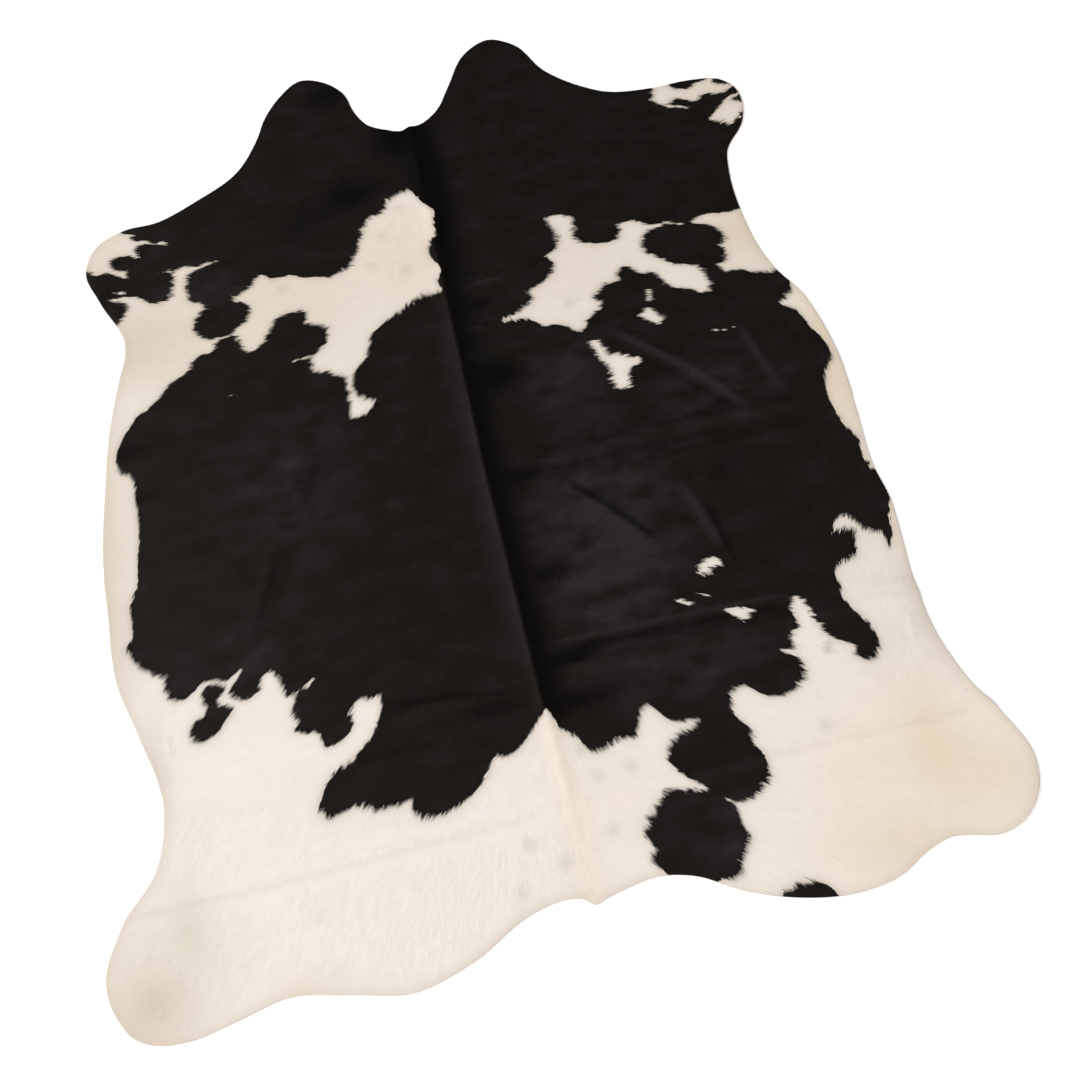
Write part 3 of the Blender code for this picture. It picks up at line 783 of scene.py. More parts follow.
@dataclass
class Markings:
    """The coat's pattern: where it is black, where its staining and painted sheen and shade lie,
    and how it lies.
    """

    curve_step: float = 8 * MM
    far: float = 30 * MM
    streak_taper: float = 0.7
    lay_reach: float = 40 * MM
    least_slope: float = 0.5
    cloud_across: float = 85 * MM
    cloud_along: float = 42 * MM
    cloud_smoothness: float = 0.7
    cloud_fineness: float = 2.0
    cloud_layers: int = 4
    cloud_depth: float = 1.1
    cloud_least: float = 0.07
    cloud_patches: float = 4.0

    def border(self, places: ByAlong) -> np.ndarray:
        """Measure to the border between black and white.

        Args:
            places: where to measure.

        Returns:
            The distance to the border, above 0 in the black and below 0 in the white.
        """
        depth = np.full(len(places.places), -self.far)
        for patch in PATCHES:
            ring = smooth_ring(to_origin(patch.points), self.curve_step)
            gap = to_line(places, np.concatenate([ring, ring[:1]]), self.far)[0]
            depth = self.lay_over(depth, np.where(within(places, ring), gap, -gap), patch.hair)
        for streak in STREAKS:
            line = to_origin((streak.start, streak.end))
            gap, at = to_line(places, line, self.far)
            share = at / float(np.hypot(*(line[1] - line[0])))
            width = streak.half_width * CM * (1.0 - self.streak_taper * share)
            depth = self.lay_over(depth, width - gap, streak.hair)
        return np.clip(depth, -self.far, self.far)

    @staticmethod
    def lay_over(depth: np.ndarray, signed: np.ndarray, hair: Hair) -> np.ndarray:
        """Lay one marking over those before it.

        Args:
            depth: the distance to the border so far.
            signed: the distance to the marking's edge, above 0 inside it.
            hair: the marking's colour.

        Returns:
            The distance to the border with the marking on it.
        """
        return np.maximum(depth, signed) if hair is Hair.BLACK else np.minimum(depth, -signed)

    def stain_or_painted_light(self, kind: StainAndPaintedLight, places: ByAlong) -> np.ndarray:
        """Work out how strongly one kind of staining or painted sheen or shade tints the coat.

        Args:
            kind: which kind of staining, sheen or shade.
            places: where to work it out.

        Returns:
            Its strength at each place, from 0 to 1.
        """
        strength = self.spots(kind, places)
        if kind is StainAndPaintedLight.PAINTED_SHEEN:
            strength = self.cloudy(strength, places)
        clear = 1.0 - strength
        for band in BANDS.get(kind, ()):
            clear *= 1.0 - self.along_band(band, places)
        return 1.0 - clear

    @staticmethod
    def spots(kind: StainAndPaintedLight, places: ByAlong) -> np.ndarray:
        """Work out how strongly the soft spots alone tint the coat.

        Args:
            kind: which kind of staining, sheen or shade.
            places: where to work it out.

        Returns:
            Their strength at each place, from 0 to 1.
        """
        tints = list(TINTS[kind])
        if kind is StainAndPaintedLight.TICK_AND_SHADE:
            tints += [Tint(x, y, TICK_REACH, TICK_REACH, TICK_STRENGTH) for x, y in TICKS]
        clear = np.ones(len(places.places))
        for tint in tints:
            reach = (tint.reach_across * CM, tint.reach_along * CM)
            spot = fade_out(places.places, (tint.across, tint.along), reach)
            clear *= 1.0 - tint.strength * spot
        return 1.0 - clear

    def cloudy(self, strength: np.ndarray, places: ByAlong) -> np.ndarray:
        """Make the painted sheen uneven, as the hair lies a little differently from place to
        place.

        Args:
            strength: how strong it is where it is even.
            places: where to work it out.

        Returns:
            Its strength at each place, from 0 to 1.
        """
        clouds = np.array([noise.fractal((x / self.cloud_across, y / self.cloud_along, 0.0),
                                         self.cloud_smoothness, self.cloud_fineness,
                                         self.cloud_layers) for x, y in places.places])
        least = self.cloud_least * (1.0 + self.cloud_patches * clouds)
        return np.clip(strength * (1.0 + self.cloud_depth * clouds) + least, 0.0, 1.0)

    @staticmethod
    def along_band(band: Band, places: ByAlong) -> np.ndarray:
        """Work out how strongly one band tints the coat.

        Args:
            band: the band.
            places: where to work it out.

        Returns:
            Its strength at each place.
        """
        line = to_origin(band.line)
        reach = max(band.reach_left, band.reach_right) * CM
        gap, at = to_line(places, line, reach)
        middle = np.interp(-places.places[:, 1], -line[:, 1], line[:, 0])
        reach = np.where(places.places[:, 0] < middle, band.reach_left, band.reach_right) * CM
        length = float(np.linalg.norm(np.diff(line, axis=0), axis=1).sum())
        ends = soft_step(np.minimum(at, length - at) / (band.fade * CM))
        return band.strength * ends * soft_step(1.0 - gap / reach)

    def slope(self, places: ByAlong, lay: np.ndarray) -> np.ndarray:
        """Work out how fast the distance to the border grows along the lay of the hair.

        Hair that lies along the border still crosses it a little.

        Args:
            places: where to work it out.
            lay: the lay of the hair there.

        Returns:
            1 where the hair lies straight into the black, and -1 where straight out of it.
        """
        ahead, behind = (self.border(ByAlong(places.places + step * lay[:, :2]))
                         for step in (self.curve_step, -self.curve_step))
        slope = np.clip((ahead - behind) / (2 * self.curve_step), -1.0, 1.0)
        return slope + self.least_slope * (1.0 - slope**2)

    def lay(self, places: ByAlong) -> np.ndarray:
        """Work out which way the hair lies.

        Args:
            places: where to work it out.

        Returns:
            A level unit vector at each place, from root to tip.
        """
        total = np.zeros((len(places.places), 3))
        for guide in LAYS:
            away = places.places - to_origin([(guide.across, guide.along)])[0]
            weight = ((away**2).sum(1) + self.lay_reach**2) ** -1.5
            heading = radians(guide.heading)
            total += weight[:, None] * (cos(heading), sin(heading), 0.0)
        return total / np.linalg.norm(total, axis=1)[:, None]


@dataclass(frozen=True)
class Tufts:
    """How the locks gather in tufts, which break up the border along the lay of the hair."""

    size: float = 12 * MM
    reach: float = 8.5 * MM
    detail: float = 3.0
    roughness: float = 0.7

    def ragged(self, tree: Tree, place: Socket, border: Socket, slope: Socket) -> Socket:
        """Shift the border back and forth along the lay, tuft by tuft.

        Args:
            tree: the node tree, of a material or of geometry.
            place: the socket with the place on the hide.
            border: the socket with the distance to the smooth border.
            slope: the socket with its growth along the lay.

        Returns:
            The socket with the distance to the ragged border.
        """
        clumps = add_node(tree, "ShaderNodeTexNoise",
                          {"Vector": place, "Scale": 1 / self.size, "Detail": self.detail,
                           "Roughness": self.roughness})
        shift = add_node(tree, "ShaderNodeMapRange",
                         {"Value": clumps.outputs[0], "From Min": NOISE_LOW,
                          "From Max": NOISE_HIGH, "To Min": -self.reach, "To Max": self.reach})
        return add_node(tree, "ShaderNodeMath", {0: slope, 1: shift.outputs[0], 2: border},
                        operation="MULTIPLY_ADD").outputs[0]


@dataclass(frozen=True)
class UndercoatFinish:
    """Down of a tanned hair-on hide, washed and combed, which shows between the locks.

    The eye sees the coat's two colours in fine streaks along the lay, soft where they meet,
    and hardly any gloss. A streak is as wide as a lock, much coarser than real hair, which
    would be too fine to show.
    """

    name: str = "cattle_undercoat"
    black: str = "#0F0D0B"
    # A touch lighter than the white locks: painted light that evens out their shadow on it.
    white: str = "#E3DBD2"
    stains_and_painted_light: tuple[tuple[StainAndPaintedLight, str], ...] = (
        (StainAndPaintedLight.CREAM, "#D6CBBD"), (StainAndPaintedLight.STRAW, "#D5BC95"), (StainAndPaintedLight.MOSS, "#B3A893"),
        (StainAndPaintedLight.RIM, "#C0A692"), (StainAndPaintedLight.HALO, "#A39484"), (StainAndPaintedLight.TICK_AND_SHADE, "#A39A8E"))
    # Painted sheen and painted shade on the black down.
    black_painted_light: tuple[tuple[StainAndPaintedLight, str], ...] = (
        (StainAndPaintedLight.PAINTED_SHEEN, "#242021"), (StainAndPaintedLight.PAINTED_SHADE, "#010101"))
    roughness: float = 0.5
    specular: float = 0.09
    specular_tint: str = "#FFF0E4"
    blur: float = 2.0 * MM
    hair_width: float = 2.0 * MM
    hair_length: float = 26 * MM
    hair_detail: float = 2.0
    headings: int = 8
    heading_focus: float = 6.0
    streak_shade: float = 0.04
    bump: float = 0.25 * MM

    def material(self, tufts: "Tufts") -> bpy.types.Material:
        """Make the undercoat's material.

        Args:
            tufts: how the border breaks up.

        Returns:
            The material.
        """
        material, tree, shader = new_material(self.name)
        place = add_node(tree, "ShaderNodeTexCoord").outputs["Object"]
        border, slope = (add_node(tree, "ShaderNodeAttribute", attribute_name=name).outputs["Fac"]
                         for name in ("border", "slope"))
        depth = tufts.ragged(tree, place, border, slope)
        blackness = add_node(tree, "ShaderNodeMapRange",
                             {"Value": depth, "From Min": -self.blur, "From Max": self.blur},
                             interpolation_type="SMOOTHSTEP")
        white = with_stains_and_painted_light(tree, linear(self.white), self.stains_and_painted_light)
        black = with_stains_and_painted_light(tree, linear(self.black), self.black_painted_light)
        both = add_node(tree, "ShaderNodeMix",
                        {"Factor": blackness.outputs[0], MIX_A: white, MIX_B: black},
                        data_type="RGBA")
        streaks = self.streaks(tree, place)
        shade = add_node(tree, "ShaderNodeMapRange",
                         {"Value": streaks, "From Min": NOISE_LOW, "From Max": NOISE_HIGH,
                          "To Min": 1.0 - self.streak_shade, "To Max": 1.0})
        coloured = add_node(tree, "ShaderNodeVectorMath",
                            {0: both.outputs[MIX_OUT], "Scale": shade.outputs[0]},
                            operation="SCALE")
        tree.links.new(coloured.outputs[0], shader.inputs["Base Color"])
        bump = add_node(tree, "ShaderNodeBump",
                        {"Height": streaks, "Distance": self.bump, "Strength": 1.0})
        tree.links.new(bump.outputs[0], shader.inputs["Normal"])
        shader.inputs["Roughness"].default_value = self.roughness
        shader.inputs["Specular IOR Level"].default_value = self.specular
        shader.inputs["Specular Tint"].default_value = linear(self.specular_tint)
        return material

    def streaks(self, tree: Tree, place: Socket) -> Socket:
        """Draw streaks of combed hair along the lay.

        Each of several fixed headings has its own drawn-out noise, which shows where the
        hair lies about that way.

        Args:
            tree: the material's node tree.
            place: the socket with the place on the hide.

        Returns:
            The socket with the streaks, about 0.5 on average.
        """
        grain = add_node(tree, "ShaderNodeAttribute", attribute_name="grain").outputs["Vector"]
        total, weights = 0.0, 0.0
        for index in range(self.headings):
            heading = pi * index / self.headings
            turned = add_node(tree, "ShaderNodeVectorRotate",
                              {"Vector": place, "Angle": -heading}, rotation_type="Z_AXIS")
            drawn = add_node(tree, "ShaderNodeVectorMath",
                             {0: turned.outputs[0],
                              1: (1 / self.hair_length, 1 / self.hair_width, 0.0)},
                             operation="MULTIPLY")
            hairs = add_node(tree, "ShaderNodeTexNoise",
                             {"Vector": drawn.outputs[0], "Scale": 1.0,
                              "Detail": self.hair_detail})
            along = add_node(tree, "ShaderNodeVectorMath",
                             {0: grain, 1: (cos(2 * heading), sin(2 * heading), 0.0)},
                             operation="DOT_PRODUCT")
            facing = add_node(tree, "ShaderNodeMath", {0: along.outputs["Value"], 1: 0.0},
                              operation="MAXIMUM")
            weight = add_node(tree, "ShaderNodeMath",
                              {0: facing.outputs[0], 1: self.heading_focus},
                              operation="POWER").outputs[0]
            total = add_node(tree, "ShaderNodeMath", {0: hairs.outputs[0], 1: weight, 2: total},
                             operation="MULTIPLY_ADD").outputs[0]
            weights = add_node(tree, "ShaderNodeMath", {0: weight, 1: weights},
                               operation="ADD").outputs[0]
        return add_node(tree, "ShaderNodeMath", {0: total, 1: weights},
                        operation="DIVIDE").outputs[0]


@dataclass(frozen=True)
class HairFinish:
    """Straight cattle hair, washed and combed flat.

    The eye sees a low broad gloss along it and a little change of shade from lock to lock.
    Where the hair lies away from the light, near black shade is painted into its colour and
    its gloss is dulled.
    """

    name: str
    light: str
    dark: str
    stains_and_painted_light: tuple[tuple[StainAndPaintedLight, str], ...]
    roughness: float
    specular: float
    specular_tint: str

    def material(self) -> bpy.types.Material:
        """Make the hair's material.

        Returns:
            The material, which varies from lock to lock and with the staining and painted sheen
            and shade.
        """
        material, tree, shader = new_material(self.name)
        shade = add_node(tree, "ShaderNodeAttribute", attribute_name="shade").outputs["Fac"]
        hair = add_node(tree, "ShaderNodeMix",
                        {"Factor": shade, MIX_A: linear(self.light), MIX_B: linear(self.dark)},
                        data_type="RGBA").outputs[MIX_OUT]
        tree.links.new(with_stains_and_painted_light(tree, hair, self.stains_and_painted_light), shader.inputs["Base Color"])
        painted_shade = add_node(tree, "ShaderNodeAttribute", attribute_name=StainAndPaintedLight.PAINTED_SHADE.value)
        dull = add_node(tree, "ShaderNodeMapRange",
                        {"Value": painted_shade.outputs["Fac"], "To Min": self.roughness})
        tree.links.new(dull.outputs[0], shader.inputs["Roughness"])
        shader.inputs["Specular IOR Level"].default_value = self.specular
        shader.inputs["Specular Tint"].default_value = linear(self.specular_tint)
        return material


@dataclass(frozen=True)
class SuedeFinish:
    """Flesh side of chrome-tanned leather, shaved and buffed to a short nap.

    The eye sees a pale, dull, faintly blotched skin. The nap's grain is drawn at more than
    a millimetre, coarser than real, so that it shows.
    """

    name: str = "buffed_suede"
    light: str = "#D6CBB9"
    dark: str = "#B8AA95"
    roughness: float = 0.95
    blotch_size: float = 55 * MM
    blotch_detail: float = 5.0
    nap_size: float = 1.2 * MM
    nap_detail: float = 3.0
    bump: float = 0.3 * MM

    def material(self) -> bpy.types.Material:
        """Make the suede's material.

        Returns:
            The material.
        """
        material, tree, shader = new_material(self.name)
        place = add_node(tree, "ShaderNodeTexCoord").outputs["Object"]
        colour = two_tone(tree, place, self.blotch_size, self.blotch_detail, self.light,
                          self.dark)
        tree.links.new(colour, shader.inputs["Base Color"])
        nap = add_node(tree, "ShaderNodeTexNoise",
                       {"Vector": place, "Scale": 1 / self.nap_size,
                        "Detail": self.nap_detail})
        bump = add_node(tree, "ShaderNodeBump",
                        {"Height": nap.outputs[0], "Distance": self.bump, "Strength": 1.0})
        tree.links.new(bump.outputs[0], shader.inputs["Normal"])
        shader.inputs["Roughness"].default_value = self.roughness
        return material


@dataclass(frozen=True)
class EdgeFinish:
    """Knife-cut edge of the leather, left raw.

    The eye sees a thin dull line of pinkish tan. Its fibres are drawn coarser than real.
    """

    name: str = "cut_leather_edge"
    light: str = "#D2B197"
    dark: str = "#A98468"
    roughness: float = 0.8
    grain_size: float = 2.0 * MM
    grain_detail: float = 4.0

    def material(self) -> bpy.types.Material:
        """Make the cut edge's material.

        Returns:
            The material.
        """
        material, tree, shader = new_material(self.name)
        place = add_node(tree, "ShaderNodeTexCoord").outputs["Object"]
        colour = two_tone(tree, place, self.grain_size, self.grain_detail, self.light,
                          self.dark)
        tree.links.new(colour, shader.inputs["Base Color"])
        shader.inputs["Roughness"].default_value = self.roughness
        return material


# Nearly black with a warm brown cast, a cool grey sheen painted into its colour where it
# turns to the light, and near black shade painted where it lies away from it.
BLACK_HAIR = HairFinish(
    name="black_cattle_hair", light="#13100E", dark="#0F0D0B",
    stains_and_painted_light=((StainAndPaintedLight.PAINTED_SHEEN, "#272325"), (StainAndPaintedLight.PAINTED_SHADE, "#010101")),
    roughness=0.45, specular=0.1, specular_tint="#FFEBDD")
# Creamy white, straw yellow on the legs and the neck, greyer towards the black, and with
# shade painted along creases and raised edges.
WHITE_HAIR = HairFinish(
    name="white_cattle_hair", light="#E0D8CF", dark="#DCD4CA",
    stains_and_painted_light=((StainAndPaintedLight.CREAM, "#D2C7B9"), (StainAndPaintedLight.STRAW, "#D3BA92"), (StainAndPaintedLight.MOSS, "#B1A692"),
            (StainAndPaintedLight.RIM, "#C1A995"), (StainAndPaintedLight.HALO, "#A8998A"), (StainAndPaintedLight.TICK_AND_SHADE, "#A8A096")),
    roughness=0.5, specular=0.2, specular_tint="#FFFFFF")


class Face(Enum):
    """The faces of the sheet, as the number of the material slot that each wears."""

    COAT = 0
    CUT = 1
    SKIN = 2


@dataclass(frozen=True)
class RimRow:
    """One row of points round the cut edge.

    It lies inset from that edge at a height, and face is worn from it to the next row.
    """

    inset: float
    height: float
    face: Face


@dataclass
class HideSheet:
    """The leather as one closed sheet: coat side, cut edge and skin side."""

    skin: float = 2.2 * MM
    down: float = 0.8 * MM
    rim_width: float = 12 * MM
    upright: float = 0.05
    merge: float = 0.01 * MM
    same_place: float = 0.1 * MM
    edge_step: float = 5 * MM
    edge_clearance: float = 0.55
    pitch: float = 16 * MM
    near_border: float = 18 * MM
    at_border: float = 5 * MM
    fine_crest: float = 0.8
    sharp: float = radians(50)
    edge_reach: float = 30 * MM
    halo: float = 0.35
    halo_reach: float = 14 * MM
    rim_stain: float = 0.3
    rim_reach: float = 6 * MM
    rim_haze: float = 0.1
    map_width: float = 1.96
    map_length: float = 2.40
    relief: Relief = field(default_factory=Relief)
    markings: Markings = field(default_factory=Markings)

    @property
    def rim(self) -> tuple[RimRow, ...]:
        """Draw the section through the cut edge.

        Returns:
            Its rows, from the underside round to the top.
        """
        return (RimRow(self.rim_width, 0.0, Face.SKIN), RimRow(0.7 * MM, 0.0, Face.CUT),
                RimRow(0.0, 0.6 * MM, Face.CUT), RimRow(0.0, self.skin, Face.COAT),
                RimRow(0.8 * MM, self.skin + 0.4 * self.down, Face.COAT),
                RimRow(3.0 * MM, self.skin + 0.8 * self.down, Face.COAT),
                RimRow(self.rim_width, self.skin + self.down, Face.COAT))

    def cut_line(self) -> np.ndarray:
        """Read the outline off the CAD node, where its faces turn from up to down.

        Returns:
            The outline's points, anticlockwise.
        """
        model = bmesh.new()
        model.from_mesh(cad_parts[HIDE_NODE].data)
        bmesh.ops.remove_doubles(model, verts=model.verts[:], dist=self.merge)
        model.normal_update()
        model.verts.ensure_lookup_table()
        after: dict[int, int] = {}
        for edge in model.edges:
            up, down = sorted(edge.link_faces, key=lambda face: -face.normal.z)
            if up.normal.z > self.upright and down.normal.z < -self.upright:
                loop = next(loop for loop in up.loops if loop.edge == edge)
                after[loop.vert.index] = loop.link_loop_next.vert.index
        start = next(iter(after))
        ring, here = [start], after[start]
        while here != start:
            ring.append(here)
            here = after[here]
        points = np.array([model.verts[index].co.xy[:] for index in ring])
        model.free()
        return points

    @staticmethod
    def inset(ring: np.ndarray, amount: float) -> np.ndarray:
        """Move a ring in from the edge.

        Args:
            ring: the outline's points, anticlockwise.
            amount: how far in.

        Returns:
            The moved points.
        """
        # The edge's own direction is smoothed over three points to either side.
        run = sum(np.roll(ring, -step, 0) - np.roll(ring, step, 0) for step in (1, 2, 3))
        run /= np.linalg.norm(run, axis=1)[:, None]
        return ring + amount * np.stack([-run[:, 1], run[:, 0]], 1)

    @staticmethod
    def lattice(ring: np.ndarray, pitch: float) -> np.ndarray:
        """Lay a triangular lattice inside a ring.

        Args:
            ring: the ring that holds it.
            pitch: how far apart its points are.

        Returns:
            The lattice's points. One of half the pitch holds them all.
        """
        low, high = ring.min(0), ring.max(0)
        row = pitch * 3**0.5 / 2
        across, along = np.meshgrid(np.arange(int((high[0] - low[0]) / pitch) + 2),
                                    np.arange(int((high[1] - low[1]) / row) + 2))
        shift = (across - 0.5 * along).ravel() * pitch
        width = (high[0] - low[0] + pitch) // pitch * pitch
        places = np.stack([low[0] + shift % width, low[1] + along.ravel() * row], 1)
        return places[within(ByAlong(places), ring)]

    @staticmethod
    def triangulate(ring: np.ndarray, inner: np.ndarray) -> np.ndarray:
        """Fill a ring with triangles over its points and those inside it.

        Args:
            ring: the ring's points, in order.
            inner: the points inside it.

        Returns:
            Three point numbers a row, anticlockwise, counting the ring's points first.
        """
        points = np.concatenate([ring, inner])
        border = [(index, (index + 1) % len(ring)) for index in range(len(ring))]
        whole, nearest = 0, 1e-7
        found, _, faces, _, _, _ = delaunay_2d_cdt(
            [Vector(point) for point in points], border, [], whole, nearest, False)
        if len(found) != len(points):
            raise ValueError("the outline crosses itself")
        faces = np.array(faces)
        return faces[within(ByAlong(points[faces].mean(1)), ring)]

    def coat_points(self, ring: np.ndarray) -> np.ndarray:
        """Choose the coat side's points, closest at the markings and on the folds.

        Args:
            ring: the innermost row of the rim.

        Returns:
            The points inside it.
        """
        coarse = self.lattice(ring, self.pitch)
        middle = self.lattice(ring, self.pitch / 2)
        places = ByAlong(middle)
        near = np.abs(self.markings.border(places)) < self.near_border
        near |= self.relief.on_fold(places) | (self.markings.stain_or_painted_light(StainAndPaintedLight.TICK_AND_SHADE, places) > 0)
        fine = self.lattice(ring, self.pitch / 4)
        fine_places = ByAlong(fine)
        at = np.abs(self.markings.border(fine_places)) < self.at_border
        at |= self.relief.on_fold(fine_places, self.fine_crest * self.relief.crest_width)
        return self.clear(ring, np.concatenate([coarse, middle[near], fine[at]]))

    def clear(self, ring: np.ndarray, places: np.ndarray) -> np.ndarray:
        """Drop doubled points and those too near the ring.

        Args:
            ring: the ring round them.
            places: the points.

        Returns:
            The points that are kept.
        """
        keys = np.round(places / self.same_place).astype(np.int64)
        places = places[np.sort(np.unique(keys, axis=0, return_index=True)[1])]
        gap = to_line(ByAlong(places), np.concatenate([ring, ring[:1]]), self.edge_step)[0]
        return places[gap > self.edge_clearance * self.edge_step]

    def build(self) -> tuple[bpy.types.Object, bpy.types.Object]:
        """Build the sheet.

        Returns:
            The sheet, and its coat side alone, for the hair to grow on.
        """
        cut = smooth_ring(self.cut_line(), self.edge_step)
        size = len(cut)
        rows = [self.inset(cut, row.inset) for row in self.rim]
        top_inner = self.coat_points(rows[-1])
        under_inner = self.clear(rows[0], self.lattice(rows[0], self.pitch))
        places = np.concatenate([*rows, top_inner, under_inner])
        heights = np.concatenate([np.repeat([row.height for row in self.rim], size),
                                  np.full(len(top_inner), self.rim[-1].height),
                                  np.zeros(len(under_inner))])
        by_along = ByAlong(places)
        heights += self.relief.height(by_along)
        pattern = self.pattern(by_along, cut)
        faces, wears, on_coat = self.join(rows, top_inner, under_inner)

        flat = places.copy()
        outward = (cut - rows[0]) / self.rim_width
        flat[size:size * len(rows)] = np.concatenate(self.unroll(rows[-1], outward)[1:])
        sheet = self.mesh_object("hide_leather", places, heights, faces)
        sheet.data.polygons.foreach_set("material_index", wears)
        self.map_faces(sheet.data, places, flat, faces, wears == Face.SKIN.value)
        ground = self.mesh_object("coat_ground", places, heights, on_coat)
        for mesh in (sheet.data, ground.data):
            self.mark(mesh, pattern)
            mesh.shade_smooth()
        sheet.data.set_sharp_from_angle(angle=self.sharp)
        return sheet, ground

    def join(self, rows: list[np.ndarray], top_inner: np.ndarray,
             under_inner: np.ndarray) -> tuple[np.ndarray, np.ndarray, np.ndarray]:
        """Join the sheet's points into triangles.

        Args:
            rows: the rim's rows of points, from the underside round to the top.
            top_inner: the coat side's points inside them.
            under_inner: the skin side's points inside them.

        Returns:
            Three point numbers a triangle, the number of the face that each triangle wears,
            and the triangles that the coat grows on.
        """
        size, last = len(rows[0]), (len(rows) - 1) * len(rows[0])
        top = self.triangulate(rows[-1], top_inner) + last
        under = self.triangulate(rows[0], under_inner)
        under = np.where(under < size, under, under + last + len(top_inner))
        here = np.arange(size)
        after = (here + 1) % size
        strip = np.concatenate([np.stack([here, after, after + size], 1),
                                np.stack([here, after + size, here + size], 1)])
        bands = [strip + low for low in range(0, last, size)]
        worn = [Face.COAT, Face.SKIN, *(row.face for row in self.rim[:-1])]
        wears = np.repeat([face.value for face in worn],
                          [len(top), len(under)] + [2 * size] * len(bands))
        faces = np.concatenate([top, under[:, ::-1], *bands])
        return faces, wears.astype(np.int32), np.concatenate([top, *bands[-2:]])

    def unroll(self, inner: np.ndarray, outward: np.ndarray) -> list[np.ndarray]:
        """Lay the rim's rows out flat round the innermost one, as far apart as they are.

        Args:
            inner: the innermost row.
            outward: the way out of the hide at each of its points.

        Returns:
            The rows' points on the map, from the outermost.
        """
        reach, rows = 0.0, [inner]
        for upper, lower in zip(self.rim[::-1], self.rim[-2::-1]):
            reach += hypot(upper.inset - lower.inset, upper.height - lower.height)
            rows.append(inner + outward * reach)
        return rows[::-1]

    @staticmethod
    def mesh_object(name: str, places: np.ndarray, heights: np.ndarray,
                    faces: np.ndarray) -> bpy.types.Object:
        """Make an object of triangles.

        Args:
            name: its name.
            places: its points, seen from above.
            heights: their heights.
            faces: three point numbers a row.

        Returns:
            The object.
        """
        mesh = bpy.data.meshes.new(name)
        mesh.from_pydata(np.column_stack([places, heights]).tolist(), [], faces.tolist())
        made = bpy.data.objects.new(name, mesh)
        bpy.context.scene.collection.objects.link(made)
        return made

    def map_faces(self, mesh: bpy.types.Mesh, places: np.ndarray, flat: np.ndarray,
                  faces: np.ndarray, is_skin: np.ndarray) -> None:
        """Give the sheet its map: the coat side on the left, the skin side on the right.

        Args:
            mesh: the sheet's mesh.
            places: its points, seen from above.
            flat: its points with the rim unrolled.
            faces: three point numbers a row.
            is_skin: True for each face of the skin side.
        """
        corners = np.where(is_skin[:, None, None], places[faces], flat[faces])
        # Each side is centred on its own half of the map.
        corners = corners / (2 * self.map_width, self.map_length) + (0.25, 0.5)
        corners[..., 0] += np.where(is_skin, 0.5, 0.0)[:, None]
        mesh.uv_layers.new(name=UV_NAME).data.foreach_set("uv", corners.ravel())

    def pattern(self, places: ByAlong, cut: np.ndarray) -> dict[str, np.ndarray]:
        """Work out the coat's pattern.

        Args:
            places: where to work it out.
            cut: the cut edge.

        Returns:
            A number or a vector for each place, by the name of its attribute.
        """
        lay = self.markings.lay(places)
        values = {kind.value: self.markings.stain_or_painted_light(kind, places) for kind in StainAndPaintedLight}
        values["border"] = self.markings.border(places)
        values["slope"] = self.markings.slope(places, lay)
        edge = to_line(places, np.concatenate([cut, cut[:1]]), self.edge_reach)[0]
        values["edge"] = edge
        halo = self.halo * soft_step(1.0 + values["border"] / self.halo_reach)
        values[StainAndPaintedLight.HALO.value] = 1.0 - (1.0 - halo) * (1.0 - values[StainAndPaintedLight.HALO.value])
        rim = (self.rim_stain * soft_step(1.0 - edge / self.rim_reach)
               + self.rim_haze * soft_step(1.0 - edge / self.edge_reach))
        values[StainAndPaintedLight.RIM.value] = 1.0 - (1.0 - rim) * (1.0 - values[StainAndPaintedLight.RIM.value])
        values["bend"] = self.relief.bend(places)
        values["lay"] = lay
        # Twice the heading, so that hair lying the opposite way has the same grain.
        values["grain"] = np.stack([lay[:, 0]**2 - lay[:, 1]**2, 2 * lay[:, 0] * lay[:, 1],
                                    0.0 * lay[:, 0]], 1)
        return values

    @staticmethod
    def mark(mesh: bpy.types.Mesh, pattern: dict[str, np.ndarray]) -> None:
        """Write the coat's pattern onto a mesh's points.

        Args:
            mesh: the mesh.
            pattern: a number or a vector for each point, by the attribute's name.
        """
        for name, value in pattern.items():
            kind, part = ("FLOAT", "value") if value.ndim == 1 else ("FLOAT_VECTOR", "vector")
            mesh.attributes.new(name, kind, "POINT").data.foreach_set(part, value.ravel())


@dataclass(frozen=True)
class CoatPiece:
    """The locks of one colour on a stretch of the hide, in metres along from its middle."""

    name: str
    hair: Hair
    start: float
    end: float


COAT_PIECES = (
    CoatPiece("black_hair_rear", Hair.BLACK, -PAST_END, -0.18),
    CoatPiece("black_hair_middle", Hair.BLACK, -0.18, 0.38),
    CoatPiece("black_hair_front", Hair.BLACK, 0.38, PAST_END),
    CoatPiece("white_hair_rear", Hair.WHITE, -PAST_END, -0.7),
    CoatPiece("white_hair_front", Hair.WHITE, -0.7, PAST_END),
)


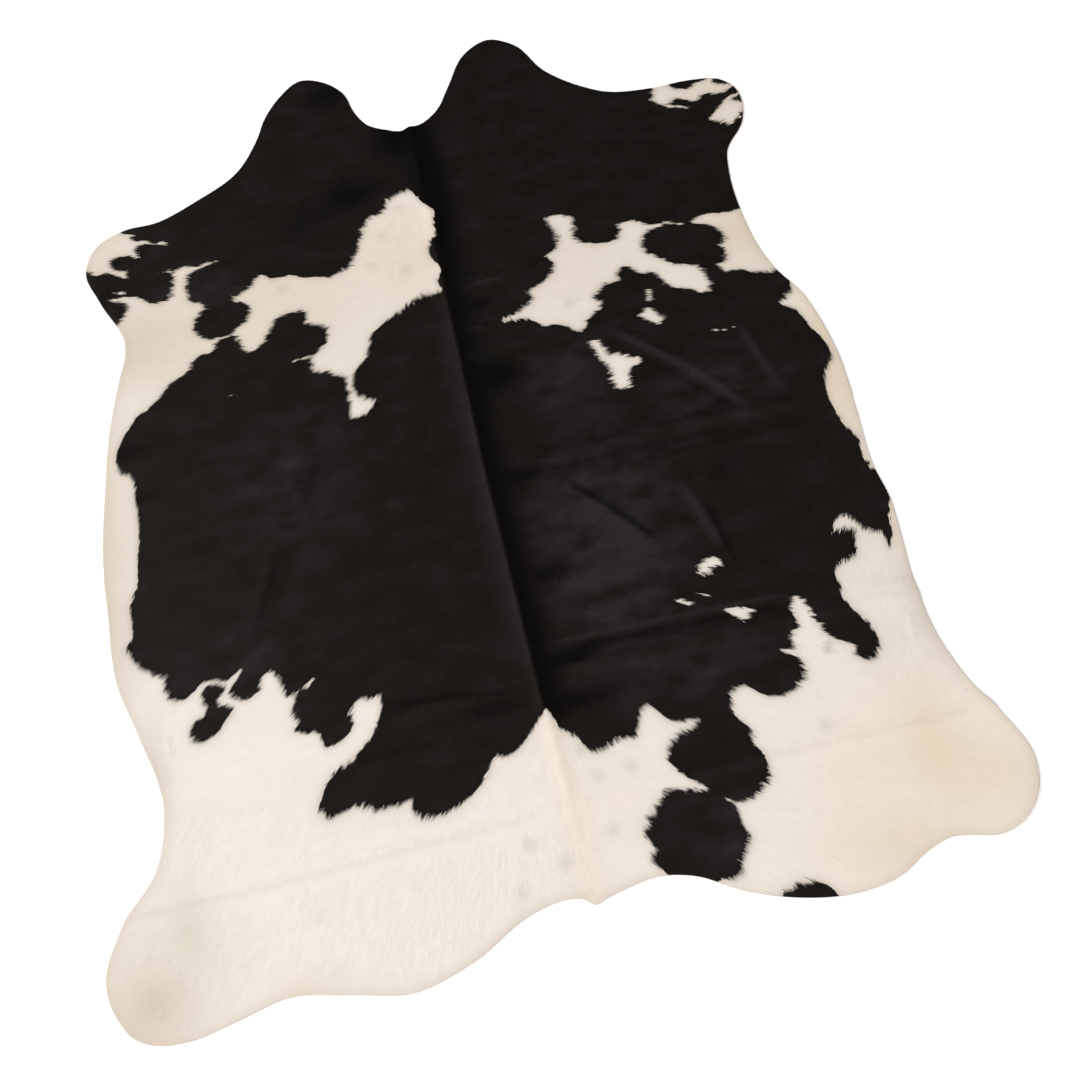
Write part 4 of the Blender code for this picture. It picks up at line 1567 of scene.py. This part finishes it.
@dataclass
class HairCoat:
    """The coat's upper hairs, as flat locks that overlap from root to tip.

    A lock stands for some hundreds of hairs. It is drawn about 2 mm wide, and longer and
    wider away from the borders, coarser than real cattle hair, so that it shows.
    """

    length: float = 18 * MM
    width: float = 2.1 * MM
    thickness: float = 0.045 * MM
    spacing: float = 1.65 * MM
    densest: float = 330_000.0
    sparsest: float = 0.19
    root_share: float = 0.5
    tilt: tuple[float, float] = (radians(0.3), radians(0.8))
    spread: float = radians(7.0)
    swirl: float = radians(11.0)
    swirl_size: float = 22 * MM
    inner_scale: tuple[float, float] = (1.35, 1.5)
    near: float = 12 * MM
    away: float = 24 * MM
    varies: tuple[float, float] = (0.75, 1.25)
    trimmed: float = 0.25
    on_crest: float = 0.4
    map_size: float = 2.5
    tufts: Tufts = Tufts()
    seed: int = 11

    def sizes(self) -> dict[str, float]:
        """List the tree's sizes.

        Returns:
            Each value by the name of its input.
        """
        return {"Length": self.length, "Width": self.width, "Thickness": self.thickness,
                "Spacing": self.spacing, "Densest": self.densest, "Sparsest": self.sparsest,
                "Root Share": self.root_share, "Least Tilt": self.tilt[0],
                "Most Tilt": self.tilt[1], "Spread": self.spread,
                "Side": 1.0, "From": -PAST_END, "To": PAST_END}

    def tree(self) -> Tree:
        """Build the tree that grows the locks.

        Returns:
            The tree, with its sizes as named inputs.
        """
        tree = bpy.data.node_groups.new("locks_of_hair", "GeometryNodeTree")
        sockets = tree.interface
        sockets.new_socket("Ground", in_out="INPUT", socket_type="NodeSocketGeometry")
        for name, value in self.sizes().items():
            sockets.new_socket(name, in_out="INPUT",
                               socket_type="NodeSocketFloat").default_value = value
        sockets.new_socket("Hair", in_out="INPUT", socket_type="NodeSocketMaterial")
        sockets.new_socket("Locks", in_out="OUTPUT", socket_type="NodeSocketGeometry")
        given = add_node(tree, "NodeGroupInput").outputs
        points, normal = self.scatter(tree, given)
        lock = self.one_lock(tree, given)
        turn = self.turn(tree, given, normal)
        grow = add_node(tree, "GeometryNodeInstanceOnPoints",
                        {"Points": points, "Instance": lock, "Rotation": turn,
                         "Scale": self.scale(tree, given)})
        real = add_node(tree, "GeometryNodeRealizeInstances", {"Geometry": grow.outputs[0]})
        geometry = self.mapped(tree, real.outputs[0])
        for name in ("border", "slope", "edge", "bend", "lay", "grain"):
            geometry = add_node(tree, "GeometryNodeRemoveAttribute",
                                {"Geometry": geometry, "Name": name}).outputs[0]
        dressed = add_node(tree, "GeometryNodeSetMaterial",
                           {"Geometry": geometry, "Material": given["Hair"]})
        add_node(tree, "NodeGroupOutput", {0: dressed.outputs[0]})
        return tree

    @staticmethod
    def read(tree: Tree, name: str, kind: str = "FLOAT") -> Socket:
        """Read an attribute of the ground in the tree."""
        return add_node(tree, "GeometryNodeInputNamedAttribute", {"Name": name},
                        data_type=kind).outputs["Attribute"]

    def nearness(self, tree: Tree) -> Socket:
        """Say how near the border or the cut edge is.

        Args:
            tree: the tree.

        Returns:
            The socket with 1 close to either, and 0 away from both.
        """
        from_border = add_node(tree, "ShaderNodeMath", {0: self.read(tree, "border")},
                               operation="ABSOLUTE")
        nearest = add_node(tree, "ShaderNodeMath",
                           {0: from_border.outputs[0], 1: self.read(tree, "edge")},
                           operation="MINIMUM")
        return add_node(tree, "ShaderNodeMapRange",
                        {"Value": nearest.outputs[0], "From Min": self.near,
                         "From Max": self.away, "To Min": 1.0, "To Max": 0.0}).outputs[0]

    def scatter(self, tree: Tree, given: Outputs) -> tuple[Socket, Socket]:
        """Scatter the middles of the locks of one colour, closest at the borders.

        Args:
            tree: the tree.
            given: its inputs.

        Returns:
            The points, and the way out of the hide at each.
        """
        border, slope = (self.read(tree, name) for name in ("border", "slope"))
        full = add_node(tree, "ShaderNodeMapRange",
                        {"Value": self.nearness(tree), "To Min": given["Sparsest"],
                         "To Max": 1.0})
        spread = add_node(tree, "GeometryNodeDistributePointsOnFaces",
                          {"Mesh": given["Ground"], "Distance Min": given["Spacing"],
                           "Density Max": given["Densest"], "Density Factor": full.outputs[0],
                           "Seed": self.seed}, distribute_method="POISSON")
        place = add_node(tree, "GeometryNodeInputPosition").outputs[0]
        depth = self.tufts.ragged(tree, place, border, slope)
        side = add_node(tree, "ShaderNodeMath", {0: depth, 1: given["Side"]},
                        operation="MULTIPLY")
        along = add_node(tree, "ShaderNodeSeparateXYZ", {0: place}).outputs["Y"]
        tests = [add_node(tree, "FunctionNodeCompare", {"A": high, "B": low},
                          data_type="FLOAT", operation="GREATER_THAN").outputs[0]
                 for high, low in ((side.outputs[0], 0.0), (along, given["From"]),
                                   (given["To"], along))]
        both = add_node(tree, "FunctionNodeBooleanMath", {0: tests[0], 1: tests[1]},
                        operation="AND")
        every = add_node(tree, "FunctionNodeBooleanMath", {0: both.outputs[0], 1: tests[2]},
                         operation="AND")
        kept = add_node(tree, "GeometryNodeSeparateGeometry",
                        {"Geometry": spread.outputs["Points"], "Selection": every.outputs[0]})
        chance = add_node(tree, "FunctionNodeRandomValue", {"Seed": self.seed + 1},
                          data_type="FLOAT")
        shaded = add_node(tree, "GeometryNodeStoreNamedAttribute",
                          {"Geometry": kept.outputs[0], "Name": "shade",
                           "Value": chance.outputs[1]}, data_type="FLOAT", domain="POINT")
        return shaded.outputs[0], spread.outputs["Normal"]

    def one_lock(self, tree: Tree, given: Outputs) -> Socket:
        """Make one lock: a flat three-sided spike, ridged along its top.

        Args:
            tree: the tree.
            given: its inputs.

        Returns:
            The lock, along +Y, with the origin where it crosses its neighbours.
        """
        # This radius gives the spike sides 1 wide, so that its scale is its size.
        spike = add_node(tree, "GeometryNodeMeshCone",
                         {"Vertices": 3, "Side Segments": 1, "Fill Segments": 1,
                          "Radius Top": 0.0, "Radius Bottom": 3**-0.5, "Depth": 1.0},
                         fill_type="NGON")
        ridge_down = add_node(tree, "GeometryNodeTransform",
                              {"Geometry": spike.outputs["Mesh"],
                               "Rotation": (0.0, 0.0, -pi / 2)})
        laid = add_node(tree, "GeometryNodeTransform",
                        {"Geometry": ridge_down.outputs[0], "Rotation": (-pi / 2, 0.0, 0.0)})
        size = add_node(tree, "ShaderNodeCombineXYZ",
                        {0: given["Width"], 1: given["Length"], 2: given["Thickness"]})
        back = add_node(tree, "ShaderNodeMath", {0: given["Root Share"], 1: given["Length"]},
                        operation="MULTIPLY")
        back = add_node(tree, "ShaderNodeMath", {0: back.outputs[0], 1: -1.0},
                        operation="MULTIPLY")
        lift = add_node(tree, "ShaderNodeMath",
                        {0: back.outputs[0], 1: -sin(sum(self.tilt) / 2)}, operation="MULTIPLY")
        middle = add_node(tree, "ShaderNodeCombineXYZ", {1: back.outputs[0], 2: lift.outputs[0]})
        return add_node(tree, "GeometryNodeTransform",
                        {"Geometry": laid.outputs[0], "Translation": middle.outputs[0],
                         "Scale": size.outputs[0]}).outputs[0]

    def turn(self, tree: Tree, given: Outputs, normal: Socket) -> Socket:
        """Turn each lock along the lay of the hair, its tip a little up.

        Args:
            tree: the tree.
            given: its inputs.
            normal: the way out of the hide.

        Returns:
            The locks' rotation.
        """
        along = add_node(tree, "FunctionNodeAxesToRotation",
                         {"Primary Axis": normal,
                          "Secondary Axis": self.read(tree, "lay", "FLOAT_VECTOR")},
                         primary_axis="Z", secondary_axis="Y")
        eddies = add_node(tree, "ShaderNodeTexNoise", {"Scale": 1 / self.swirl_size})
        swirl = add_node(tree, "ShaderNodeMapRange",
                         {"Value": eddies.outputs[0], "From Min": NOISE_LOW,
                          "From Max": NOISE_HIGH, "To Min": -self.swirl, "To Max": self.swirl})
        least = add_node(tree, "ShaderNodeMath", {0: given["Spread"], 1: -1.0},
                         operation="MULTIPLY")
        yaw = add_node(tree, "FunctionNodeRandomValue",
                       {2: least.outputs[0], 3: given["Spread"], "Seed": self.seed + 2},
                       data_type="FLOAT")
        tilt = add_node(tree, "FunctionNodeRandomValue",
                        {2: given["Least Tilt"], 3: given["Most Tilt"], "Seed": self.seed + 3},
                        data_type="FLOAT")
        heading = add_node(tree, "ShaderNodeMath", {0: yaw.outputs[1], 1: swirl.outputs[0]},
                           operation="ADD")
        angles = add_node(tree, "ShaderNodeCombineXYZ",
                          {0: tilt.outputs[1], 2: heading.outputs[0]})
        turned = add_node(tree, "FunctionNodeEulerToRotation", {0: angles.outputs[0]})
        return add_node(tree, "FunctionNodeRotateRotation",
                        {"Rotation": along.outputs[0], "Rotate By": turned.outputs[0]},
                        rotation_space="LOCAL").outputs[0]

    def scale(self, tree: Tree, given: Outputs) -> Socket:
        """Vary the locks' lengths, and trim them short at the cut edge.

        Args:
            tree: the tree.
            given: its inputs.

        Returns:
            The locks' scale.
        """
        trim = add_node(tree, "ShaderNodeMapRange",
                        {"Value": self.read(tree, "edge"), "From Min": 0.0,
                         "From Max": given["Length"], "To Min": self.trimmed, "To Max": 1.0})
        chance = add_node(tree, "FunctionNodeRandomValue",
                          {2: self.varies[0], 3: self.varies[1], "Seed": self.seed + 4},
                          data_type="FLOAT")
        wide, long = (add_node(tree, "ShaderNodeMapRange",
                               {"Value": self.nearness(tree), "To Min": scale, "To Max": 1.0})
                      for scale in self.inner_scale)
        long = add_node(tree, "ShaderNodeMath", {0: chance.outputs[1], 1: long.outputs[0]},
                        operation="MULTIPLY")
        shorter = add_node(tree, "ShaderNodeMapRange",
                           {"Value": self.read(tree, "bend"), "To Min": 1.0,
                            "To Max": self.on_crest})
        for share in (trim, shorter):
            long = add_node(tree, "ShaderNodeMath", {0: long.outputs[0], 1: share.outputs[0]},
                            operation="MULTIPLY")
        return add_node(tree, "ShaderNodeCombineXYZ",
                        {0: wide.outputs[0], 1: long.outputs[0], 2: 1.0}).outputs[0]

    def mapped(self, tree: Tree, geometry: Socket) -> Socket:
        """Map the locks as they are seen from above.

        Args:
            tree: the tree.
            geometry: the locks.

        Returns:
            The locks with their map.
        """
        place = add_node(tree, "GeometryNodeInputPosition").outputs[0]
        at = add_node(tree, "ShaderNodeVectorMath",
                      {0: place, 1: (1 / self.map_size, 1 / self.map_size, 0.0),
                       2: (0.5, 0.5, 0.0)},
                      operation="MULTIPLY_ADD")
        return add_node(tree, "GeometryNodeStoreNamedAttribute",
                        {"Geometry": geometry, "Name": UV_NAME, "Value": at.outputs[0]},
                        data_type="FLOAT2", domain="CORNER").outputs[0]

    @staticmethod
    def grow(tree: Tree, ground: bpy.types.Object, part: CoatPiece,
             material: bpy.types.Material) -> bpy.types.Object:
        """Grow the locks of one colour on a stretch of the hide.

        Args:
            tree: the tree that grows them.
            ground: the coat side that they grow on.
            part: which locks, and the piece's name.
            material: their material.

        Returns:
            The locks as one plain mesh.
        """
        piece = bpy.data.objects.new(part.name, ground.data)
        bpy.context.scene.collection.objects.link(piece)
        modifier = piece.modifiers.new("locks", "NODES")
        modifier.node_group = tree
        own = {"Side": float(part.hair.value), "From": part.start, "To": part.end,
               "Hair": material}
        for socket in tree.interface.items_tree:
            if socket.name in own:
                modifier[socket.identifier] = own[socket.name]
        seen = piece.evaluated_get(bpy.context.evaluated_depsgraph_get())
        mesh = bpy.data.meshes.new_from_object(seen)
        mesh.name = part.name
        piece.modifiers.remove(modifier)
        piece.data = mesh
        return piece


@dataclass(frozen=True)
class Softbox:
    """A square softbox that hangs at a place and faces the middle of the hide."""

    name: str
    place: Place
    width: float
    watts: float


@dataclass
class Studio:
    """The pale floor, the soft light and the camera."""

    softboxes: tuple[Softbox, ...] = (
        Softbox("softbox_left", (-6.0, -4.0, 9.0), 4.0, 712.0),
        Softbox("softbox_right", (6.0, -3.0, 9.0), 4.0, 460.0),
        Softbox("softbox_far", (-7.5, 4.3, 6.5), 3.2, 550.0))
    sky: float = 0.22
    lens: float = 46.667
    film: float = 36.0
    place: Place = (0.2013, -1.5191, 2.8004)
    heading: float = radians(4.28)
    tilt: float = radians(24.0)
    roll: float = radians(-18.5)
    floor_size: float = 24.0
    floor_gap: float = 0.3 * MM
    floor_colour: str = "#FBFBFA"
    floor_roughness: float = 0.9

    def build(self) -> None:
        """Build the floor, the lights and the camera."""
        self.floor()
        for softbox in self.softboxes:
            self.hang(softbox)
        world = bpy.data.worlds.new("studio")
        world.use_nodes = True
        sky = world.node_tree.nodes["Background"]
        sky.inputs["Color"].default_value = linear("#FFFFFF")
        sky.inputs["Strength"].default_value = self.sky
        bpy.context.scene.world = world
        # Plain colour values, so that the near black and the near white both hold.
        bpy.context.scene.view_settings.view_transform = "Standard"
        self.camera()

    def floor(self) -> None:
        """Lay the plain floor just under the hide."""
        bpy.ops.mesh.primitive_plane_add(size=self.floor_size,
                                         location=(0.0, 0.0, -self.floor_gap))
        floor = bpy.context.object
        floor.name = "floor"
        material, _, shader = new_material("matt_paper_floor")
        shader.inputs["Base Color"].default_value = linear(self.floor_colour)
        shader.inputs["Roughness"].default_value = self.floor_roughness
        floor.data.materials.append(material)

    @staticmethod
    def hang(softbox: Softbox) -> None:
        """Hang a softbox.

        Args:
            softbox: its place, size and power.
        """
        lamp = bpy.data.lights.new(softbox.name, "AREA")
        lamp.shape, lamp.size, lamp.energy = "SQUARE", softbox.width, softbox.watts
        made = bpy.data.objects.new(softbox.name, lamp)
        bpy.context.scene.collection.objects.link(made)
        made.location = softbox.place
        made.rotation_euler = (-Vector(softbox.place)).to_track_quat("-Z", "Y").to_euler()

    def camera(self) -> None:
        """Stand the camera at the photo's angle."""
        lens = bpy.data.cameras.new("camera")
        lens.lens, lens.sensor_width = self.lens, self.film
        made = bpy.data.objects.new("camera", lens)
        bpy.context.scene.collection.objects.link(made)
        turn = (Matrix.Rotation(self.heading, 4, "Z") @ Matrix.Rotation(self.tilt, 4, "X")
                @ Matrix.Rotation(self.roll, 4, "Z"))
        made.matrix_world = Matrix.Translation(self.place) @ turn
        bpy.context.scene.camera = made


def main() -> None:
    """Build the rug and its studio, and attach each piece to the root body."""
    logging.basicConfig(level=logging.INFO, format="%(message)s")
    Studio().build()
    coat = HairCoat()
    sheet, ground = HideSheet().build()
    for material in (UndercoatFinish().material(coat.tufts),
                     EdgeFinish().material(), SuedeFinish().material()):
        sheet.data.materials.append(material)
    log.info("%s: %d triangles", sheet.name, len(sheet.data.polygons))

    tree = coat.tree()
    black, white = BLACK_HAIR.material(), WHITE_HAIR.material()
    for part in COAT_PIECES:
        is_black = part.hair is Hair.BLACK
        piece = coat.grow(tree, ground, part, black if is_black else white)
        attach(piece, "root")
        log.info("%s: %d triangles", part.name, len(piece.data.polygons))
    bpy.data.objects.remove(ground, do_unlink=True)

    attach(sheet, "root")
    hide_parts(HIDE_NODE)


if __name__ == "__main__":
    main()
